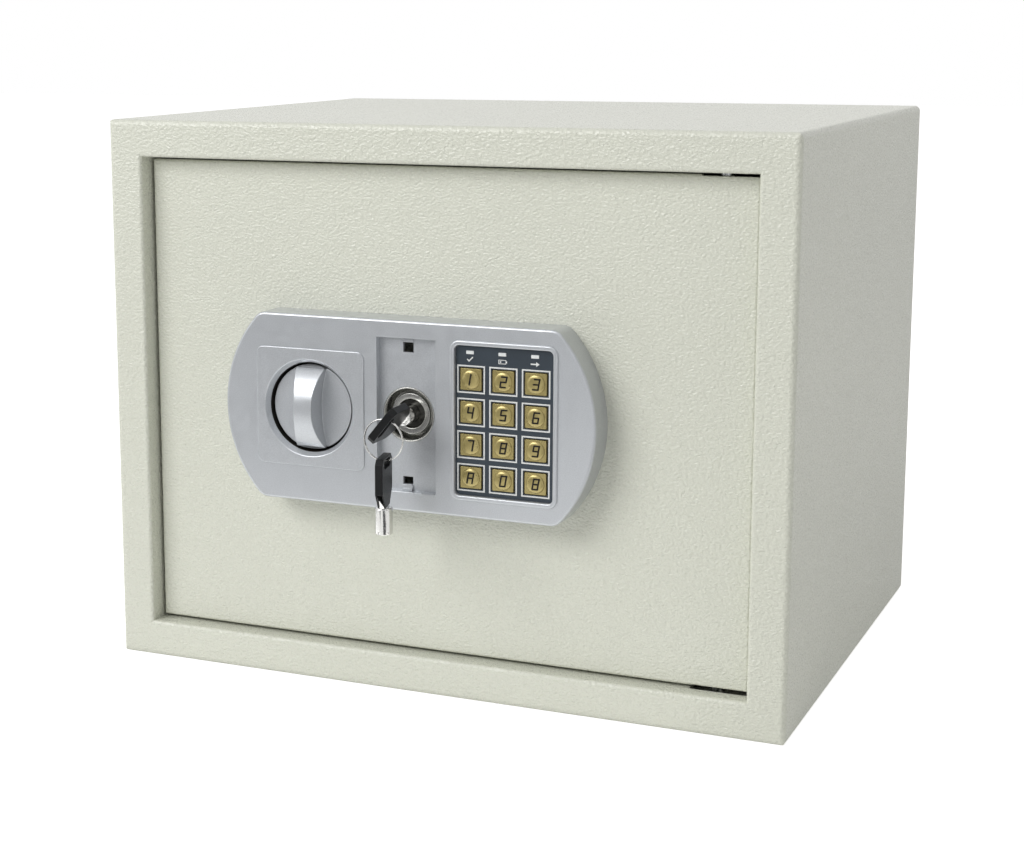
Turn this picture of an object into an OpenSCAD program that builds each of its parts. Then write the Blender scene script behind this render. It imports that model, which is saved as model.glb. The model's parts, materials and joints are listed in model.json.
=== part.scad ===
/* [Cabinet] */
// Outside width of the cabinet
cabinet_w = 380; // [372:1:440]
// Outside height of the cabinet
cabinet_h = 300; // [290:1:380]
// Outside depth of the cabinet
cabinet_d = 300; // [200:1:380]
// Thickness of the cabinet's sheet
sheet_t = 2; // [1.5:0.1:2.5]
// Width of the frame face around the door
frame_w = 20; // [18:0.5:24]
// Depth of the lip that turns in from the frame
lip_d = 20; // [16:0.5:20]
// Radius of the cabinet's outer edges
edge_r = 3; // [2:0.5:5]
// Distance between the two wall anchor holes
wall_pitch = 200; // [120:10:260]
// Distance between the two floor anchor holes
floor_pitch = 200; // [120:10:260]
// Diameter of the anchor holes
anchor_d = 10; // [8:0.5:12]

/* [Door] */
// Gap between the door and its frame
door_gap = 1.5; // [1.3:0.1:2]
// How far the door's face lies behind the frame's face
door_inset = 10; // [8:0.5:12]
// Thickness of the door plate
plate_t = 4; // [3:0.5:4]
// Depth of the box behind the door plate
box_d = 34; // [34:1:40]
// Diameter of the hinge pins
pin_d = 7.5; // [6:0.1:7.6]
// Distance of the hinge pins from the opening's edge
pin_in = 20; // [19.5:0.1:21]

/* [Control panel] */
// Height of the panel's moulding
panel_h = 100.2; // [98:0.1:110]
// Radius of the panel's round ends
panel_end_r = 71; // [65:1:80]
// Distance between the centres of the two round ends
panel_span = 66.7; // [66:0.1:80]
// Radius of the panel's corners
panel_corner_r = 8; // [4:0.5:10]
// How far the panel stands out of the door
panel_out = 18; // [18:0.5:20]
// Wall thickness of the moulding
wall_t = 2.5; // [2:0.1:3]

/* [Knob] */
// Diameter of the knob's disc
knob_d = 45.5; // [40:0.5:46]
// How far the grip stands above the disc at its middle
grip_h = 12.5; // [8:0.5:16]
// Half width of the grip at its middle
grip_waist = 5.2; // [4:0.1:7]
// Half width of the grip at its ends
grip_end = 9; // [8:0.1:10]
// Angle that throws the bolts
knob_turn = 70; // [50:1:80]

/* [Keypad] */
// Distance between key columns
key_pitch_x = 17.55; // [17:0.05:18]
// Distance between key rows
key_pitch_z = 17; // [16.5:0.05:17.5]
// Width of one key
tile_w = 12; // [10:0.1:12.4]
// Height of one key
tile_h = 11.2; // [10:0.1:12]
// How far a key travels
key_travel = 0.6; // [0.3:0.1:0.8]

/* [Bolts] */
// Diameter of the locking bolts
bolt_d = 18; // [14:1:18]
// How far the bolts throw
bolt_throw = 16; // [12:0.5:16]
// Distance of each bolt from the panel's middle line
bolt_z = 55; // [50:1:60]

/* [Keys] */
// Width of a key's grip
bow_w = 21.8; // [18:0.1:24]
// Length of a key's grip
bow_l = 26; // [22:0.5:30]
// Thickness of a key's grip
bow_t = 4; // [3:0.1:5]
// Diameter of the tubular key's barrel
barrel_d = 9.2; // [8:0.1:9.2]
// Outer diameter of the split ring
ring_d = 22.4; // [21:0.1:24]
// How far the key's grip is turned from upright
bow_turn = 39; // [30:1:50]

/* [Hidden] */
$fn = 64;

// Colours
cream = [0.84, 0.85, 0.80];
silver = [0.69, 0.70, 0.72];
steel = [0.62, 0.63, 0.65];
zinc = [0.72, 0.71, 0.66];
chrome = [0.80, 0.81, 0.83];
black = [0.07, 0.07, 0.08];
slate = [0.20, 0.24, 0.28];
gold = [0.68, 0.60, 0.36];

// Depth of the main layers, counted back from the cabinet's front face
face_y = door_inset;
plate_y = face_y + plate_t;
box_y = plate_y + box_d;
panel_y = face_y - panel_out;
carriage_y = plate_y + 8;
crank_y = carriage_y + 4;
bolt_y = plate_y + 19;
cam_y = plate_y + 18;
cover_y = box_y + 1.5;

// The opening, the door and the pins on which it turns
inner_half = cabinet_w / 2 - sheet_t;
open_w = cabinet_w - 2 * frame_w;
open_h = cabinet_h - 2 * frame_w;
door_w = open_w - 2 * door_gap;
door_h = open_h - 2 * door_gap;
mid_z = cabinet_h / 2;
box_w = door_w - 8;
box_h = door_h - 8;
pin_x = open_w / 2 - pin_in;
pin_y = plate_y + 4;

// Places on the control panel; recess, well and field are left, right, lower and upper edges
panel_x = -11;
panel_z = mid_z + 1.5;
outline_z = panel_z - 0.45;
knob_x = panel_x - 54.4;
lock_x = panel_x + 1.1;
key_field_x = panel_x + 54.6;
recess = [-26.2, 6.9, 111.3, 191.9];
well = [17.6, 70.9, 112.7, 190.4];
field = [-96.1, -33.4, 120.1, 183.1];
bead_w = 2.6;
bead_h = 0.9;
raised = 0.7;
overlay_y = panel_y + 1.5;
recess_y = panel_y + 4.3;
key_row_top_z = panel_z + 21.5;
board_y = overlay_y + 5.1 + key_travel;
fit = 0.08;
gap = 0.3;

// Knob drive: a crank pin on a radius moves the carriage by the bolts' throw
spindle_r = 5;
cup_r = knob_d / 2 + 1.1;
crank_pin_r = 2.5;
crank_r = bolt_throw / 2 / sin(knob_turn / 2);
pin_rise = crank_r * cos(knob_turn / 2);
pin_side = crank_r * sin(knob_turn / 2);

// Carriage and its tongue with the two notches for the plunger
carriage_x0 = knob_x - 38;
carriage_x1 = knob_x + 35;
tongue_z = [panel_z + 17, panel_z + 29.5];
notch_d = 4.5;
plunger_r = 3;
plunger_drop = 5;
plunger_y = carriage_y + 1.25;
coil_z = [panel_z + 50.5, panel_z + 74.5];
cam_r = 13;
cam_off = plunger_drop / (2 * sin(45));

// Key in the lock
lock_face_y = face_y - 11;
collar_r = 14.4;
bow_end_y = lock_face_y - 37.5;
barrel_l = 13.2;
barrel_end_y = bow_end_y + bow_l + 1 + barrel_l;
slot_in = 3.6;
slot_w = 4.5;
slot_l = 13.2;
wire_r = 0.65;
ring_r = ring_d / 2 - wire_r;
ring_y = bow_end_y + 3.6;
ring_z = panel_z - 7.3;
spare_top_z = ring_z - ring_r + 2.3;
spare_turn = 12;

// Battery tray on the hinge side of the box: left, right, lower and upper edges
tray = [56, 126, 58, 120];
cell_d = 14.2;
cell_l = 50.5;
button_x = pin_x - 12;

// y is counted from the cabinet's front face in everything drawn inside this
module from_front() translate([0, -cabinet_d / 2, 0]) children();

module block(low, high) translate(low) cube(high - low);

// Round bars along each direction
module bar_x(y, z, r, x0, x1) translate([x0, y, z]) rotate([0, 90, 0]) cylinder(r = r, h = x1 - x0);
module bar_y(x, z, r, y0, y1) translate([x, y0, z]) rotate([-90, 0, 0]) cylinder(r = r, h = y1 - y0);
module bar_z(x, y, r, z0, z1) translate([x, y, z0]) cylinder(r = r, h = z1 - z0);

// An outline drawn in X and Z, and one drawn in Y and Z, made thick
module slab_y(y0, y1) translate([0, y1, 0]) rotate([90, 0, 0]) linear_extrude(y1 - y0) children();
module slab_x(x0, x1) translate([x0, 0, 0]) rotate([90, 0, 90]) linear_extrude(x1 - x0) children();

module rounded_rect(w, h, r) {
    square([w - 2 * r, h], center = true);
    square([w, h - 2 * r], center = true);
    for (sx = [-1, 1], sz = [-1, 1])
        translate([sx * (w / 2 - r), sz * (h / 2 - r)]) circle(r = r);
}

// A slot with round ends, along the outline's first direction
module slot_shape(length, width) {
    square([length - width, width], center = true);
    for (s = [-1, 1]) translate([s * (length - width) / 2, 0]) circle(d = width);
}

// A plate whose front edges and corners are round: three outlines that cross
module round_front_block(w, h, z0, y0, y1, r) {
    intersection() {
        slab_y(y0, y1) translate([0, z0 + h / 2]) rounded_rect(w, h, r);
        translate([0, 0, z0]) linear_extrude(h)
            translate([0, y0 + (y1 - y0) / 2 + r]) rounded_rect(w, y1 - y0 + 2 * r, r);
        slab_x(-w / 2, w / 2)
            translate([y0 + (y1 - y0) / 2 + r, z0 + h / 2]) rounded_rect(y1 - y0 + 2 * r, h, r);
    }
}

// ---- Cabinet ----

// The opening's profile in one direction: straight, with a flare where the sheet bends
module flare(size, r) {
    translate([-size / 2, -1]) square([size, lip_d + 2]);
    difference() {
        translate([-size / 2 - r, -1]) square([size + 2 * r, r + 1]);
        for (s = [-1, 1]) translate([s * (size / 2 + r), r]) circle(r = r);
    }
}

module opening_cut() {
    intersection() {
        linear_extrude(cabinet_h) flare(open_w, sheet_t);
        translate([-cabinet_w / 2, 0, mid_z]) rotate([90, 0, 90]) linear_extrude(cabinet_w)
            rotate(90) mirror([0, 1]) flare(open_h, sheet_t);
    }
}

module anchor_holes_floor() {
    for (s = [-1, 1])
        translate([s * floor_pitch / 2, 0, -1]) cylinder(d = anchor_d, h = sheet_t + 2);
}

module body_shell() color(cream) {
    difference() {
        from_front() difference() {
            union() {
                difference() {
                    round_front_block(cabinet_w, cabinet_h, 0, 0, cabinet_d, edge_r);
                    block([-inner_half, sheet_t, sheet_t],
                          [inner_half, cabinet_d + 1, cabinet_h - sheet_t]);
                }
                block([-open_w / 2 - sheet_t, 1, frame_w - sheet_t],
                      [open_w / 2 + sheet_t, lip_d, cabinet_h - frame_w + sheet_t]);
            }
            opening_cut();
            // Notches in the lips that the hinge pins reach through
            for (z = [frame_w - sheet_t - 1, cabinet_h - frame_w - 1])
                block([open_w / 2 - 32, face_y, z], [open_w / 2, lip_d + 1, z + sheet_t + 2]);
        }
        anchor_holes_floor();
    }
}

module back_panel() color(cream) from_front() difference() {
    block([-inner_half, cabinet_d - 2 * sheet_t, sheet_t],
          [inner_half, cabinet_d - sheet_t, cabinet_h - sheet_t]);
    for (s = [-1, 1])
        bar_y(s * wall_pitch / 2, mid_z, anchor_d / 2, cabinet_d - 10, cabinet_d);
}

// Plate welded behind the frame face and to the side, with the hole that a pin turns in
bracket_gap = 2;
bracket_t = 3;
bracket_y = 44;
top_bracket_z = cabinet_h - frame_w + sheet_t + bracket_gap;
module hinge_bracket(z0) color(cream) from_front() difference() {
    union() {
        block([pin_x - 20, sheet_t, z0], [inner_half, bracket_y, z0 + bracket_t]);
        block([inner_half - bracket_t, sheet_t, z0 - 6], [inner_half, bracket_y, z0 + 9]);
    }
    bar_z(pin_x, pin_y, pin_d / 2 + fit, z0 - 1, z0 + bracket_t + 1);
}
module hinge_bracket_top() hinge_bracket(top_bracket_z);
module hinge_bracket_bottom() hinge_bracket(cabinet_h - top_bracket_z - bracket_t);

module floor_mat() color([0.16, 0.16, 0.17]) difference() {
    block([-inner_half + 3, -cabinet_d / 2 + 55, sheet_t],
          [inner_half - 3, cabinet_d / 2 - 8, sheet_t + 2.5]);
    for (s = [-1, 1])
        translate([s * floor_pitch / 2, 0, 0]) cylinder(d = anchor_d + 8, h = 10);
}

// ---- Door ----

panel_screw_at = [for (sx = [-1, 1], sz = [-1, 1]) [panel_x + sx * 92, panel_z + sz * 28]];
lock_hole_r = 9.6;
bush_r = 8;
cable_at = [45, panel_z - 22];
guide_screw_at = [[knob_x - 20, panel_z + 33], [knob_x - 20, panel_z - 33]];

module door_plate() color(cream) from_front() difference() {
    round_front_block(door_w, door_h, mid_z - door_h / 2, face_y, plate_y, 1.6);
    bar_y(knob_x, panel_z, bush_r + 0.05, face_y - 1, plate_y + 1);
    bar_y(lock_x, panel_z, lock_hole_r, face_y - 1, plate_y + 1);
    bar_y(cable_at[0], cable_at[1], 5, face_y - 1, plate_y + 1);
    for (p = panel_screw_at) bar_y(p[0], p[1], 2.1, face_y - 1, plate_y + 1);
    for (p = guide_screw_at) bar_y(p[0], p[1], 2, plate_y - 2.5, plate_y + 1);
    // Cut-outs at the two corners over the hinge pins
    for (z = [mid_z - door_h / 2 - 1, mid_z + door_h / 2 - 0.7])
        block([pin_x - 11, face_y - 1, z], [door_w / 2 + 1, plate_y + 1, z + 1.7]);
}

// Folded box welded to the back of the door plate, with a flange for the inner cover
box_wall = 2;
cover_screw_at = [for (x = [-box_w / 2 + 8, 0, box_w / 2 - 8], s = [-1, 1])
                  [x, mid_z + s * (box_h / 2 - 8)]];
module door_box() color(cream) from_front() difference() {
    block([-box_w / 2, plate_y, mid_z - box_h / 2], [box_w / 2, box_y, mid_z + box_h / 2]);
    block([-box_w / 2 + box_wall, plate_y - 1, mid_z - box_h / 2 + box_wall],
          [box_w / 2 - box_wall, box_y - box_wall, mid_z + box_h / 2 - box_wall]);
    block([-box_w / 2 + 14, plate_y, mid_z - box_h / 2 + 14],
          [box_w / 2 - 14, box_y + 1, mid_z + box_h / 2 - 14]);
    for (s = [-1, 1])
        bar_x(bolt_y, panel_z + s * bolt_z, bolt_d / 2 + gap, -box_w / 2 - 1, -box_w / 2 + 3);
    for (s = [0, 1])
        bar_z(pin_x, pin_y, pin_d / 2 + 0.05, mid_z - box_h / 2 - 1 + s * (box_h - 2),
              mid_z - box_h / 2 + 4 + s * (box_h - 2));
    for (p = cover_screw_at) bar_y(p[0], p[1], 1.6, box_y - 5, box_y + 1);
}

// A pin with a square foot that is welded inside the box; it points up or down
module hinge_pin(up) color(steel) from_front() {
    wall_z = box_h / 2 - box_wall;
    tip_z = top_bracket_z + 6 - mid_z;
    translate([pin_x, pin_y, mid_z]) mirror([0, 0, up ? 0 : 1]) {
        translate([-7, -pin_d / 2, wall_z - 12]) cube([14, pin_d + 6, 12]);
        translate([0, 0, wall_z - 1]) cylinder(d = pin_d, h = tip_z - wall_z + 1);
    }
}
module hinge_pin_top() hinge_pin(true);
module hinge_pin_bottom() hinge_pin(false);

module inner_cover() color(cream) from_front() difference() {
    block([-box_w / 2 + 1, box_y, mid_z - box_h / 2 + 1],
          [box_w / 2 - 1, cover_y, mid_z + box_h / 2 - 1]);
    block([tray[0], box_y - 1, tray[2]], [tray[1], cover_y + 1, tray[3]]);
    bar_y(button_x, panel_z, 4.3, box_y - 1, cover_y + 1);
    for (p = cover_screw_at) bar_y(p[0], p[1], 2, box_y - 1, cover_y + 1);
}

// A pan head screw that points to the front, head on the plane y
module screw(x, z, y, shank_r, head_r, length) {
    difference() {
        union() {
            bar_y(x, z, shank_r, y - length, y + 0.5);
            bar_y(x, z, head_r, y, y + 1.8);
        }
        block([x - head_r * 0.7, y + 0.9, z - 0.4], [x + head_r * 0.7, y + 3, z + 0.4]);
        block([x - 0.4, y + 0.9, z - head_r * 0.7], [x + 0.4, y + 3, z + head_r * 0.7]);
    }
}
module cover_screws() color(zinc) from_front()
    for (p = cover_screw_at) screw(p[0], p[1], cover_y, 1.5, 3.2, 6);

module battery_tray() color(black) from_front() {
    back = box_y - 19;
    difference() {
        block([tray[0] - 3, back, tray[2] - 3], [tray[1] + 3, box_y - 0.2, tray[3] + 3]);
        block([tray[0], back + 1.6, tray[2]], [tray[1], box_y + 1, tray[3]]);
        bar_z(tray[0] + 8, box_y - 10, 1.8, tray[3] - 1, tray[3] + 4);
    }
}

cell_x = [for (i = [0:3]) (tray[0] + tray[1]) / 2 + (i - 1.5) * 16.4];
cell_y = box_y - 9.6;
contact_t = 0.8;

// A plate with a cone for its spring at each end of each cell
module battery_contacts() color(chrome) from_front()
    for (x = cell_x, up = [0, 1]) translate([x, cell_y, (tray[2] + tray[3]) / 2])
        mirror([0, 0, up]) translate([0, 0, -(tray[3] - tray[2]) / 2]) {
            block([-6.5, -6, 0], [6.5, 6, contact_t]);
            cylinder(r1 = 5, r2 = 2.2, h = (tray[3] - tray[2] - cell_l) / 2 - 0.2);
        }

module batteries() color([0.2, 0.35, 0.45]) from_front()
    for (i = [0:3]) translate([cell_x[i], cell_y, (tray[2] + tray[3]) / 2])
        mirror([0, 0, i % 2]) translate([0, 0, -cell_l / 2]) {
            cylinder(d = cell_d, h = cell_l - 1.5);
            cylinder(d = 5.5, h = cell_l);
        }

// The panel's outline in X and Z: round ends, straight top and bottom, round corners
module panel_outline(inset = 0) {
    r = panel_end_r - inset;
    c = panel_corner_r - inset;
    h = panel_h / 2 - inset;
    rise = h - c;
    run = sqrt((r - c) * (r - c) - rise * rise);
    touch_z = rise * r / (r - c);
    for (s = [-1, 1]) {
        intersection() {
            translate([s * panel_span / 2, 0]) circle(r = r, $fn = 180);
            square([4 * r, 2 * touch_z], center = true);
            translate([s * 2 * r, 0]) square([4 * r, 4 * r], center = true);
        }
        for (t = [-1, 1]) translate([s * (panel_span / 2 + run), t * rise]) circle(r = c);
    }
    square([panel_span, 2 * touch_z], center = true);
    square([panel_span + 2 * run, 2 * h], center = true);
}

module at_panel() translate([panel_x, outline_z]) children();

// A square-cornered outline given by its left, right, lower and upper edges
module frame_rect(edges, grow = 0) translate([edges[0] - grow, edges[2] - grow])
    square([edges[1] - edges[0] + 2 * grow, edges[3] - edges[2] + 2 * grow]);

module soft_rect(edges, grow, r) translate([(edges[0] + edges[1]) / 2, (edges[2] + edges[3]) / 2])
    rounded_rect(edges[1] - edges[0] + 2 * grow, edges[3] - edges[2] + 2 * grow, r + grow);

module at_keys() for (row = [0:3], col = [-1:1])
    translate([key_field_x + col * key_pitch_x, key_row_top_z - row * key_pitch_z]) children();

lens_x = [for (col = [-1:1]) key_field_x + col * key_pitch_x - 0.6];
lens_z = key_row_top_z + 13.8;
lens_w = 4.2;
lens_h = 1.8;

module panel_moulding() color(silver) from_front() difference() {
    union() {
        difference() {
            union() {
                slab_y(panel_y + 1.2, face_y) at_panel() panel_outline();
                slab_y(panel_y + 0.4, panel_y + 2) at_panel() panel_outline(0.4);
                slab_y(panel_y, panel_y + 2) at_panel() panel_outline(1.2);
            }
            slab_y(panel_y + wall_t, face_y + 1) at_panel() panel_outline(wall_t);
        }
        // Raised field around the knob and bead around the keypad
        slab_y(panel_y - raised, panel_y + 1) soft_rect(field, 0, 4);
        slab_y(panel_y - bead_h, panel_y + 1) soft_rect(well, bead_w, 3);
        // Walls of the knob's cup, the lock's recess and the keypad's floor
        bar_y(knob_x, panel_z, 28, panel_y + 1, face_y - 7);
        slab_y(panel_y + 1, recess_y + 2) frame_rect(recess, 1.6);
        bar_y(lock_x, panel_z, 16, panel_y + 1, face_y - 1);
        slab_y(panel_y + 1, overlay_y + 2.5) soft_rect(well, 1.6, 3);
        // Bosses for the screws and posts for the keypad board
        for (p = panel_screw_at)
            bar_y(p[0], p[1], 3.5, panel_y + 1, face_y);
        for (sx = [-1, 1], sz = [-1, 1])
            bar_y(key_field_x + sx * 22, (well[2] + well[3]) / 2 + sz * 38.2, 1.4, panel_y + 2, board_y);
    }
    translate([knob_x, panel_y - raised - 0.01, panel_z]) rotate([-90, 0, 0])
        cylinder(r1 = 25.9, r2 = cup_r, h = 3);
    bar_y(knob_x, panel_z, cup_r, panel_y, face_y - 9);
    bar_y(knob_x, panel_z, 11, panel_y, face_y + 1);
    slab_y(panel_y - 1, recess_y) frame_rect(recess);
    bar_y(lock_x, panel_z, collar_r + 0.1, recess_y - 1, face_y + 1);
    slab_y(panel_y - 2, overlay_y + 0.5) soft_rect(well, 0, 3);
    slab_y(panel_y, board_y - 2.5) at_keys() square([tile_w + 0.8, tile_h + 0.8], center = true);
    for (x = lens_x) slab_y(panel_y, board_y - 2.5) translate([x, lens_z])
        square([lens_w, lens_h], center = true);
    // Catches for a clip-on cover at the top and bottom of the lock's recess
    for (z = [[184.1, 189.3], [114.6, 118.7]])
        block([lock_x - 3, recess_y - 1, z[0]], [lock_x + 2.9, recess_y + 3, z[1]]);
    for (p = panel_screw_at)
        bar_y(p[0], p[1], 1.5, face_y - 10, face_y + 1);
}

module keypad_overlay() color(slate) from_front() difference() {
    slab_y(overlay_y, overlay_y + 0.5) soft_rect(well, -0.1, 3);
    slab_y(overlay_y - 1, overlay_y + 1) at_keys()
        square([tile_w + 0.8, tile_h + 0.8], center = true);
    for (x = lens_x) slab_y(overlay_y - 1, overlay_y + 1) translate([x, lens_z])
        square([lens_w, lens_h], center = true);
}

module indicator_lenses() color([0.9, 0.92, 0.9]) from_front()
    for (x = lens_x) slab_y(overlay_y - 0.1, overlay_y + 2.4) translate([x, lens_z])
        square([lens_w - 0.1, lens_h - 0.1], center = true);

dome_r = 13;

// One key: a tile with a low dome, and a flange that keeps it behind the moulding
module button(row, col) color(gold) from_front()
    translate([key_field_x + (col - 1) * key_pitch_x, 0, key_row_top_z - row * key_pitch_z]) {
        slab_y(overlay_y - 0.3, overlay_y + 3.1) square([tile_w, tile_h], center = true);
        slab_y(overlay_y + 2.8, overlay_y + 3.5) square([tile_w + 2.4, tile_h + 2.4], center = true);
        translate([0, overlay_y - 1.1 + dome_r, 0]) intersection() {
            sphere(r = dome_r);
            translate([0, 0.4 - dome_r, 0]) cube([tile_w, 1, tile_h], center = true);
        }
    }
module button_1() button(0, 0);
module button_2() button(0, 1);
module button_3() button(0, 2);
module button_4() button(1, 0);
module button_5() button(1, 1);
module button_6() button(1, 2);
module button_7() button(2, 0);
module button_8() button(2, 1);
module button_9() button(2, 2);
module button_a() button(3, 0);
module button_0() button(3, 1);
module button_b() button(3, 2);

module keypad_board() color([0.10, 0.35, 0.20]) from_front() {
    slab_y(board_y, board_y + 1.6) translate([key_field_x, (well[2] + well[3]) / 2])
        square([50, 79], center = true);
    // Switches under the keys, and the chip and socket behind the board
    slab_y(board_y - 1.2, board_y) at_keys() circle(r = 2.4);
    block([key_field_x - 18, board_y + 1.6, panel_z + 4], [key_field_x + 6, board_y + 3.6, panel_z + 14]);
    block([key_field_x + 10, board_y + 1.6, panel_z + 4], [key_field_x + 18, board_y + 5.6, panel_z + 12]);
}

module panel_screws() color(zinc) from_front()
    for (p = panel_screw_at) screw(p[0], p[1], plate_y, 1.4, 3.6, 13);

// ---- Lock, knob and bolt work ----

// Barrel of the lock with a bright cup around its face, which fills the hole in the panel
module lock_housing() color(chrome) from_front() difference() {
    union() {
        bar_y(lock_x, panel_z, collar_r, recess_y - 0.3, recess_y + 8);
        bar_y(lock_x, panel_z, 10.7, lock_face_y, face_y);
        bar_y(lock_x, panel_z, 9.5, face_y - 1, cam_y - 1);
    }
    difference() {
        translate([lock_x, recess_y - 0.31, panel_z]) rotate([-90, 0, 0])
            cylinder(r1 = collar_r - 0.5, r2 = collar_r - 2.4, h = 7);
        bar_y(lock_x, panel_z, 10.7, lock_face_y, face_y);
    }
    bar_y(lock_x, panel_z, 7.5, lock_face_y - 1, cam_y);
}

module lock_nut() color(zinc) from_front() difference() {
    translate([lock_x, plate_y, panel_z]) rotate([-90, 0, 0]) cylinder(r = 13.8, h = 5, $fn = 6);
    bar_y(lock_x, panel_z, 9.55, plate_y - 1, plate_y + 6);
}

module lock_plug() color(chrome) from_front() difference() {
    union() {
        bar_y(lock_x, panel_z, 7.5 - fit, lock_face_y + 1.2, cam_y - 1);
        bar_y(lock_x, panel_z, 4.5, cam_y - 2, cam_y + 4);
    }
    difference() {
        bar_y(lock_x, panel_z, barrel_d / 2 + 0.15, lock_face_y, barrel_end_y + 2);
        bar_y(lock_x, panel_z, barrel_d / 2 - 1.75, lock_face_y, barrel_end_y + 3);
    }
}

// Round cam set off from the lock's centre: a quarter turn lets the plunger down
module lock_cam() color(zinc) from_front() difference() {
    union() {
        bar_y(lock_x - cam_off * sin(45), panel_z + cam_off * cos(45), cam_r, cam_y, cam_y + 3);
        bar_y(lock_x, panel_z, 7, cam_y + 2, cam_y + 5);
    }
    bar_y(lock_x, panel_z, 4.55, cam_y - 1, cam_y + 4);
}

module knob_bush() color(zinc) from_front() difference() {
    union() {
        bar_y(knob_x, panel_z, bush_r, face_y, plate_y + 1);
        bar_y(knob_x, panel_z, 11, plate_y, plate_y + 2.5);
    }
    bar_y(knob_x, panel_z, spindle_r + fit, face_y - 1, plate_y + 4);
}

module knob() color(silver) from_front() difference() {
    disc_y = panel_y + 4;
    r = knob_d / 2;
    end_r = (r * r + grip_h * grip_h) / (2 * grip_h);
    side_r = (r * r + pow(grip_end - grip_waist, 2)) / (2 * (grip_end - grip_waist));
    union() {
        bar_y(knob_x, panel_z, r, disc_y, disc_y + 3.5);
        bar_y(knob_x, panel_z, 9, disc_y + 1, face_y - 1.5);
        translate([knob_x, 0, panel_z]) intersection() {
            slab_x(-grip_end, grip_end) intersection() {
                translate([disc_y - grip_h + end_r, 0]) circle(r = end_r, $fn = 120);
                translate([disc_y - grip_h - 1, -r]) square([grip_h + 2, 2 * r]);
            }
            slab_y(disc_y - grip_h - 1, disc_y + 1) difference() {
                square([2 * grip_end, 2 * r], center = true);
                for (s = [-1, 1]) translate([s * (grip_waist + side_r), 0])
                    circle(r = side_r, $fn = 120);
            }
            bar_y(0, 0, r, disc_y - grip_h - 1, disc_y + 1);
        }
    }
    bar_y(knob_x, panel_z, spindle_r + 0.01, disc_y + 2.5, face_y);
}

module knob_spindle() color(steel) from_front() {
    bar_y(knob_x, panel_z, spindle_r, panel_y + 6.5, crank_y);
    bar_y(knob_x, panel_z, 3, crank_y - 1, crank_y + 5);
}

module knob_crank() color(zinc) from_front() {
    difference() {
        slab_y(crank_y, crank_y + 3) translate([knob_x, panel_z]) {
            circle(r = 8);
            translate([pin_side, pin_rise]) circle(r = 5);
            rotate(-knob_turn / 2) translate([-4.5, 0]) square([9, crank_r]);
        }
        bar_y(knob_x, panel_z, 3.02, crank_y - 1, crank_y + 4);
    }
    bar_y(knob_x + pin_side, panel_z + pin_rise, crank_pin_r, carriage_y - 1.5, crank_y + 1);
}

module bolt_carriage() color(zinc) from_front() {
    wing = bolt_z + bolt_d / 2 + 2;
    difference() {
        union() {
            block([carriage_x0, carriage_y, panel_z - wing],
                  [carriage_x1 - 12, carriage_y + 2.5, panel_z + wing]);
            block([carriage_x0, carriage_y, panel_z - 20],
                  [carriage_x1, carriage_y + 2.5, panel_z + 29.5]);
            block([carriage_x0, carriage_y, panel_z - wing],
                  [carriage_x0 + 2.5, bolt_y + 10, panel_z + wing]);
            block([carriage_x1 - 1, carriage_y, tongue_z[0]],
                  [lock_x + bolt_throw + 8, carriage_y + 2.5, tongue_z[1]]);
        }
        // Slots for the knob's spindle, the crank pin and the guide screws
        slab_y(carriage_y - 1, carriage_y + 4) {
            translate([knob_x + bolt_throw / 2, panel_z])
                slot_shape(bolt_throw + 2 * spindle_r + 1, 2 * spindle_r + 1);
            translate([knob_x + pin_side, panel_z + (pin_rise + crank_r) / 2]) rotate(90)
                slot_shape(crank_r - pin_rise + 2 * crank_pin_r + 1.4, 2 * crank_pin_r + 0.9);
            for (p = guide_screw_at) translate([p[0] + bolt_throw / 2, p[1]])
                slot_shape(bolt_throw + 6, 5.6);
        }
        // Notches that the plunger drops into, bolts in and bolts out
        for (x = [lock_x, lock_x + bolt_throw])
            block([x - plunger_r - 0.4, carriage_y - 1, tongue_z[1] - notch_d],
                  [x + plunger_r + 0.4, carriage_y + 4, tongue_z[1] + 1]);
        for (s = [-1, 1])
            bar_x(bolt_y, panel_z + s * bolt_z, 3.02, carriage_x0 - 1, carriage_x0 + 4);
    }
}

// A bolt that butts on the carriage's flange, with its screw; drawn in, its tip just shows
module bolt(z) color(steel) from_front() {
    tip_x = -box_w / 2 - 1;
    bar_x(bolt_y, z, bolt_d / 2 - 1, tip_x, tip_x + 2);
    bar_x(bolt_y, z, bolt_d / 2, tip_x + 1, carriage_x0);
    bar_x(bolt_y, z, 3, carriage_x0 - 1, carriage_x0 + 3);
    bar_x(bolt_y, z, 5.5, carriage_x0 + 2.5, carriage_x0 + 6);
}
module bolt_upper() bolt(panel_z + bolt_z);
module bolt_lower() bolt(panel_z - bolt_z);

module bolt_guide() color(zinc) from_front() {
    x = -box_w / 2 + 22;
    wing = bolt_z + bolt_d / 2 + 6;
    difference() {
        union() {
            block([x, plate_y, panel_z - wing], [x + 2.5, bolt_y + 12, panel_z + wing]);
            block([x - 12, plate_y, panel_z - wing], [x + 1, plate_y + 2.5, panel_z + wing]);
        }
        for (s = [-1, 1]) bar_x(bolt_y, panel_z + s * bolt_z, bolt_d / 2 + gap, x - 1, x + 4);
    }
}

module carriage_screws() color(steel) from_front()
    for (p = guide_screw_at) {
        bar_y(p[0], p[1], 1.95, plate_y - 2, plate_y + 1);
        bar_y(p[0], p[1], 2.4, plate_y, carriage_y + 3.1);
        bar_y(p[0], p[1], 4.6, carriage_y + 2.8, carriage_y + 4.6);
    }

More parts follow.
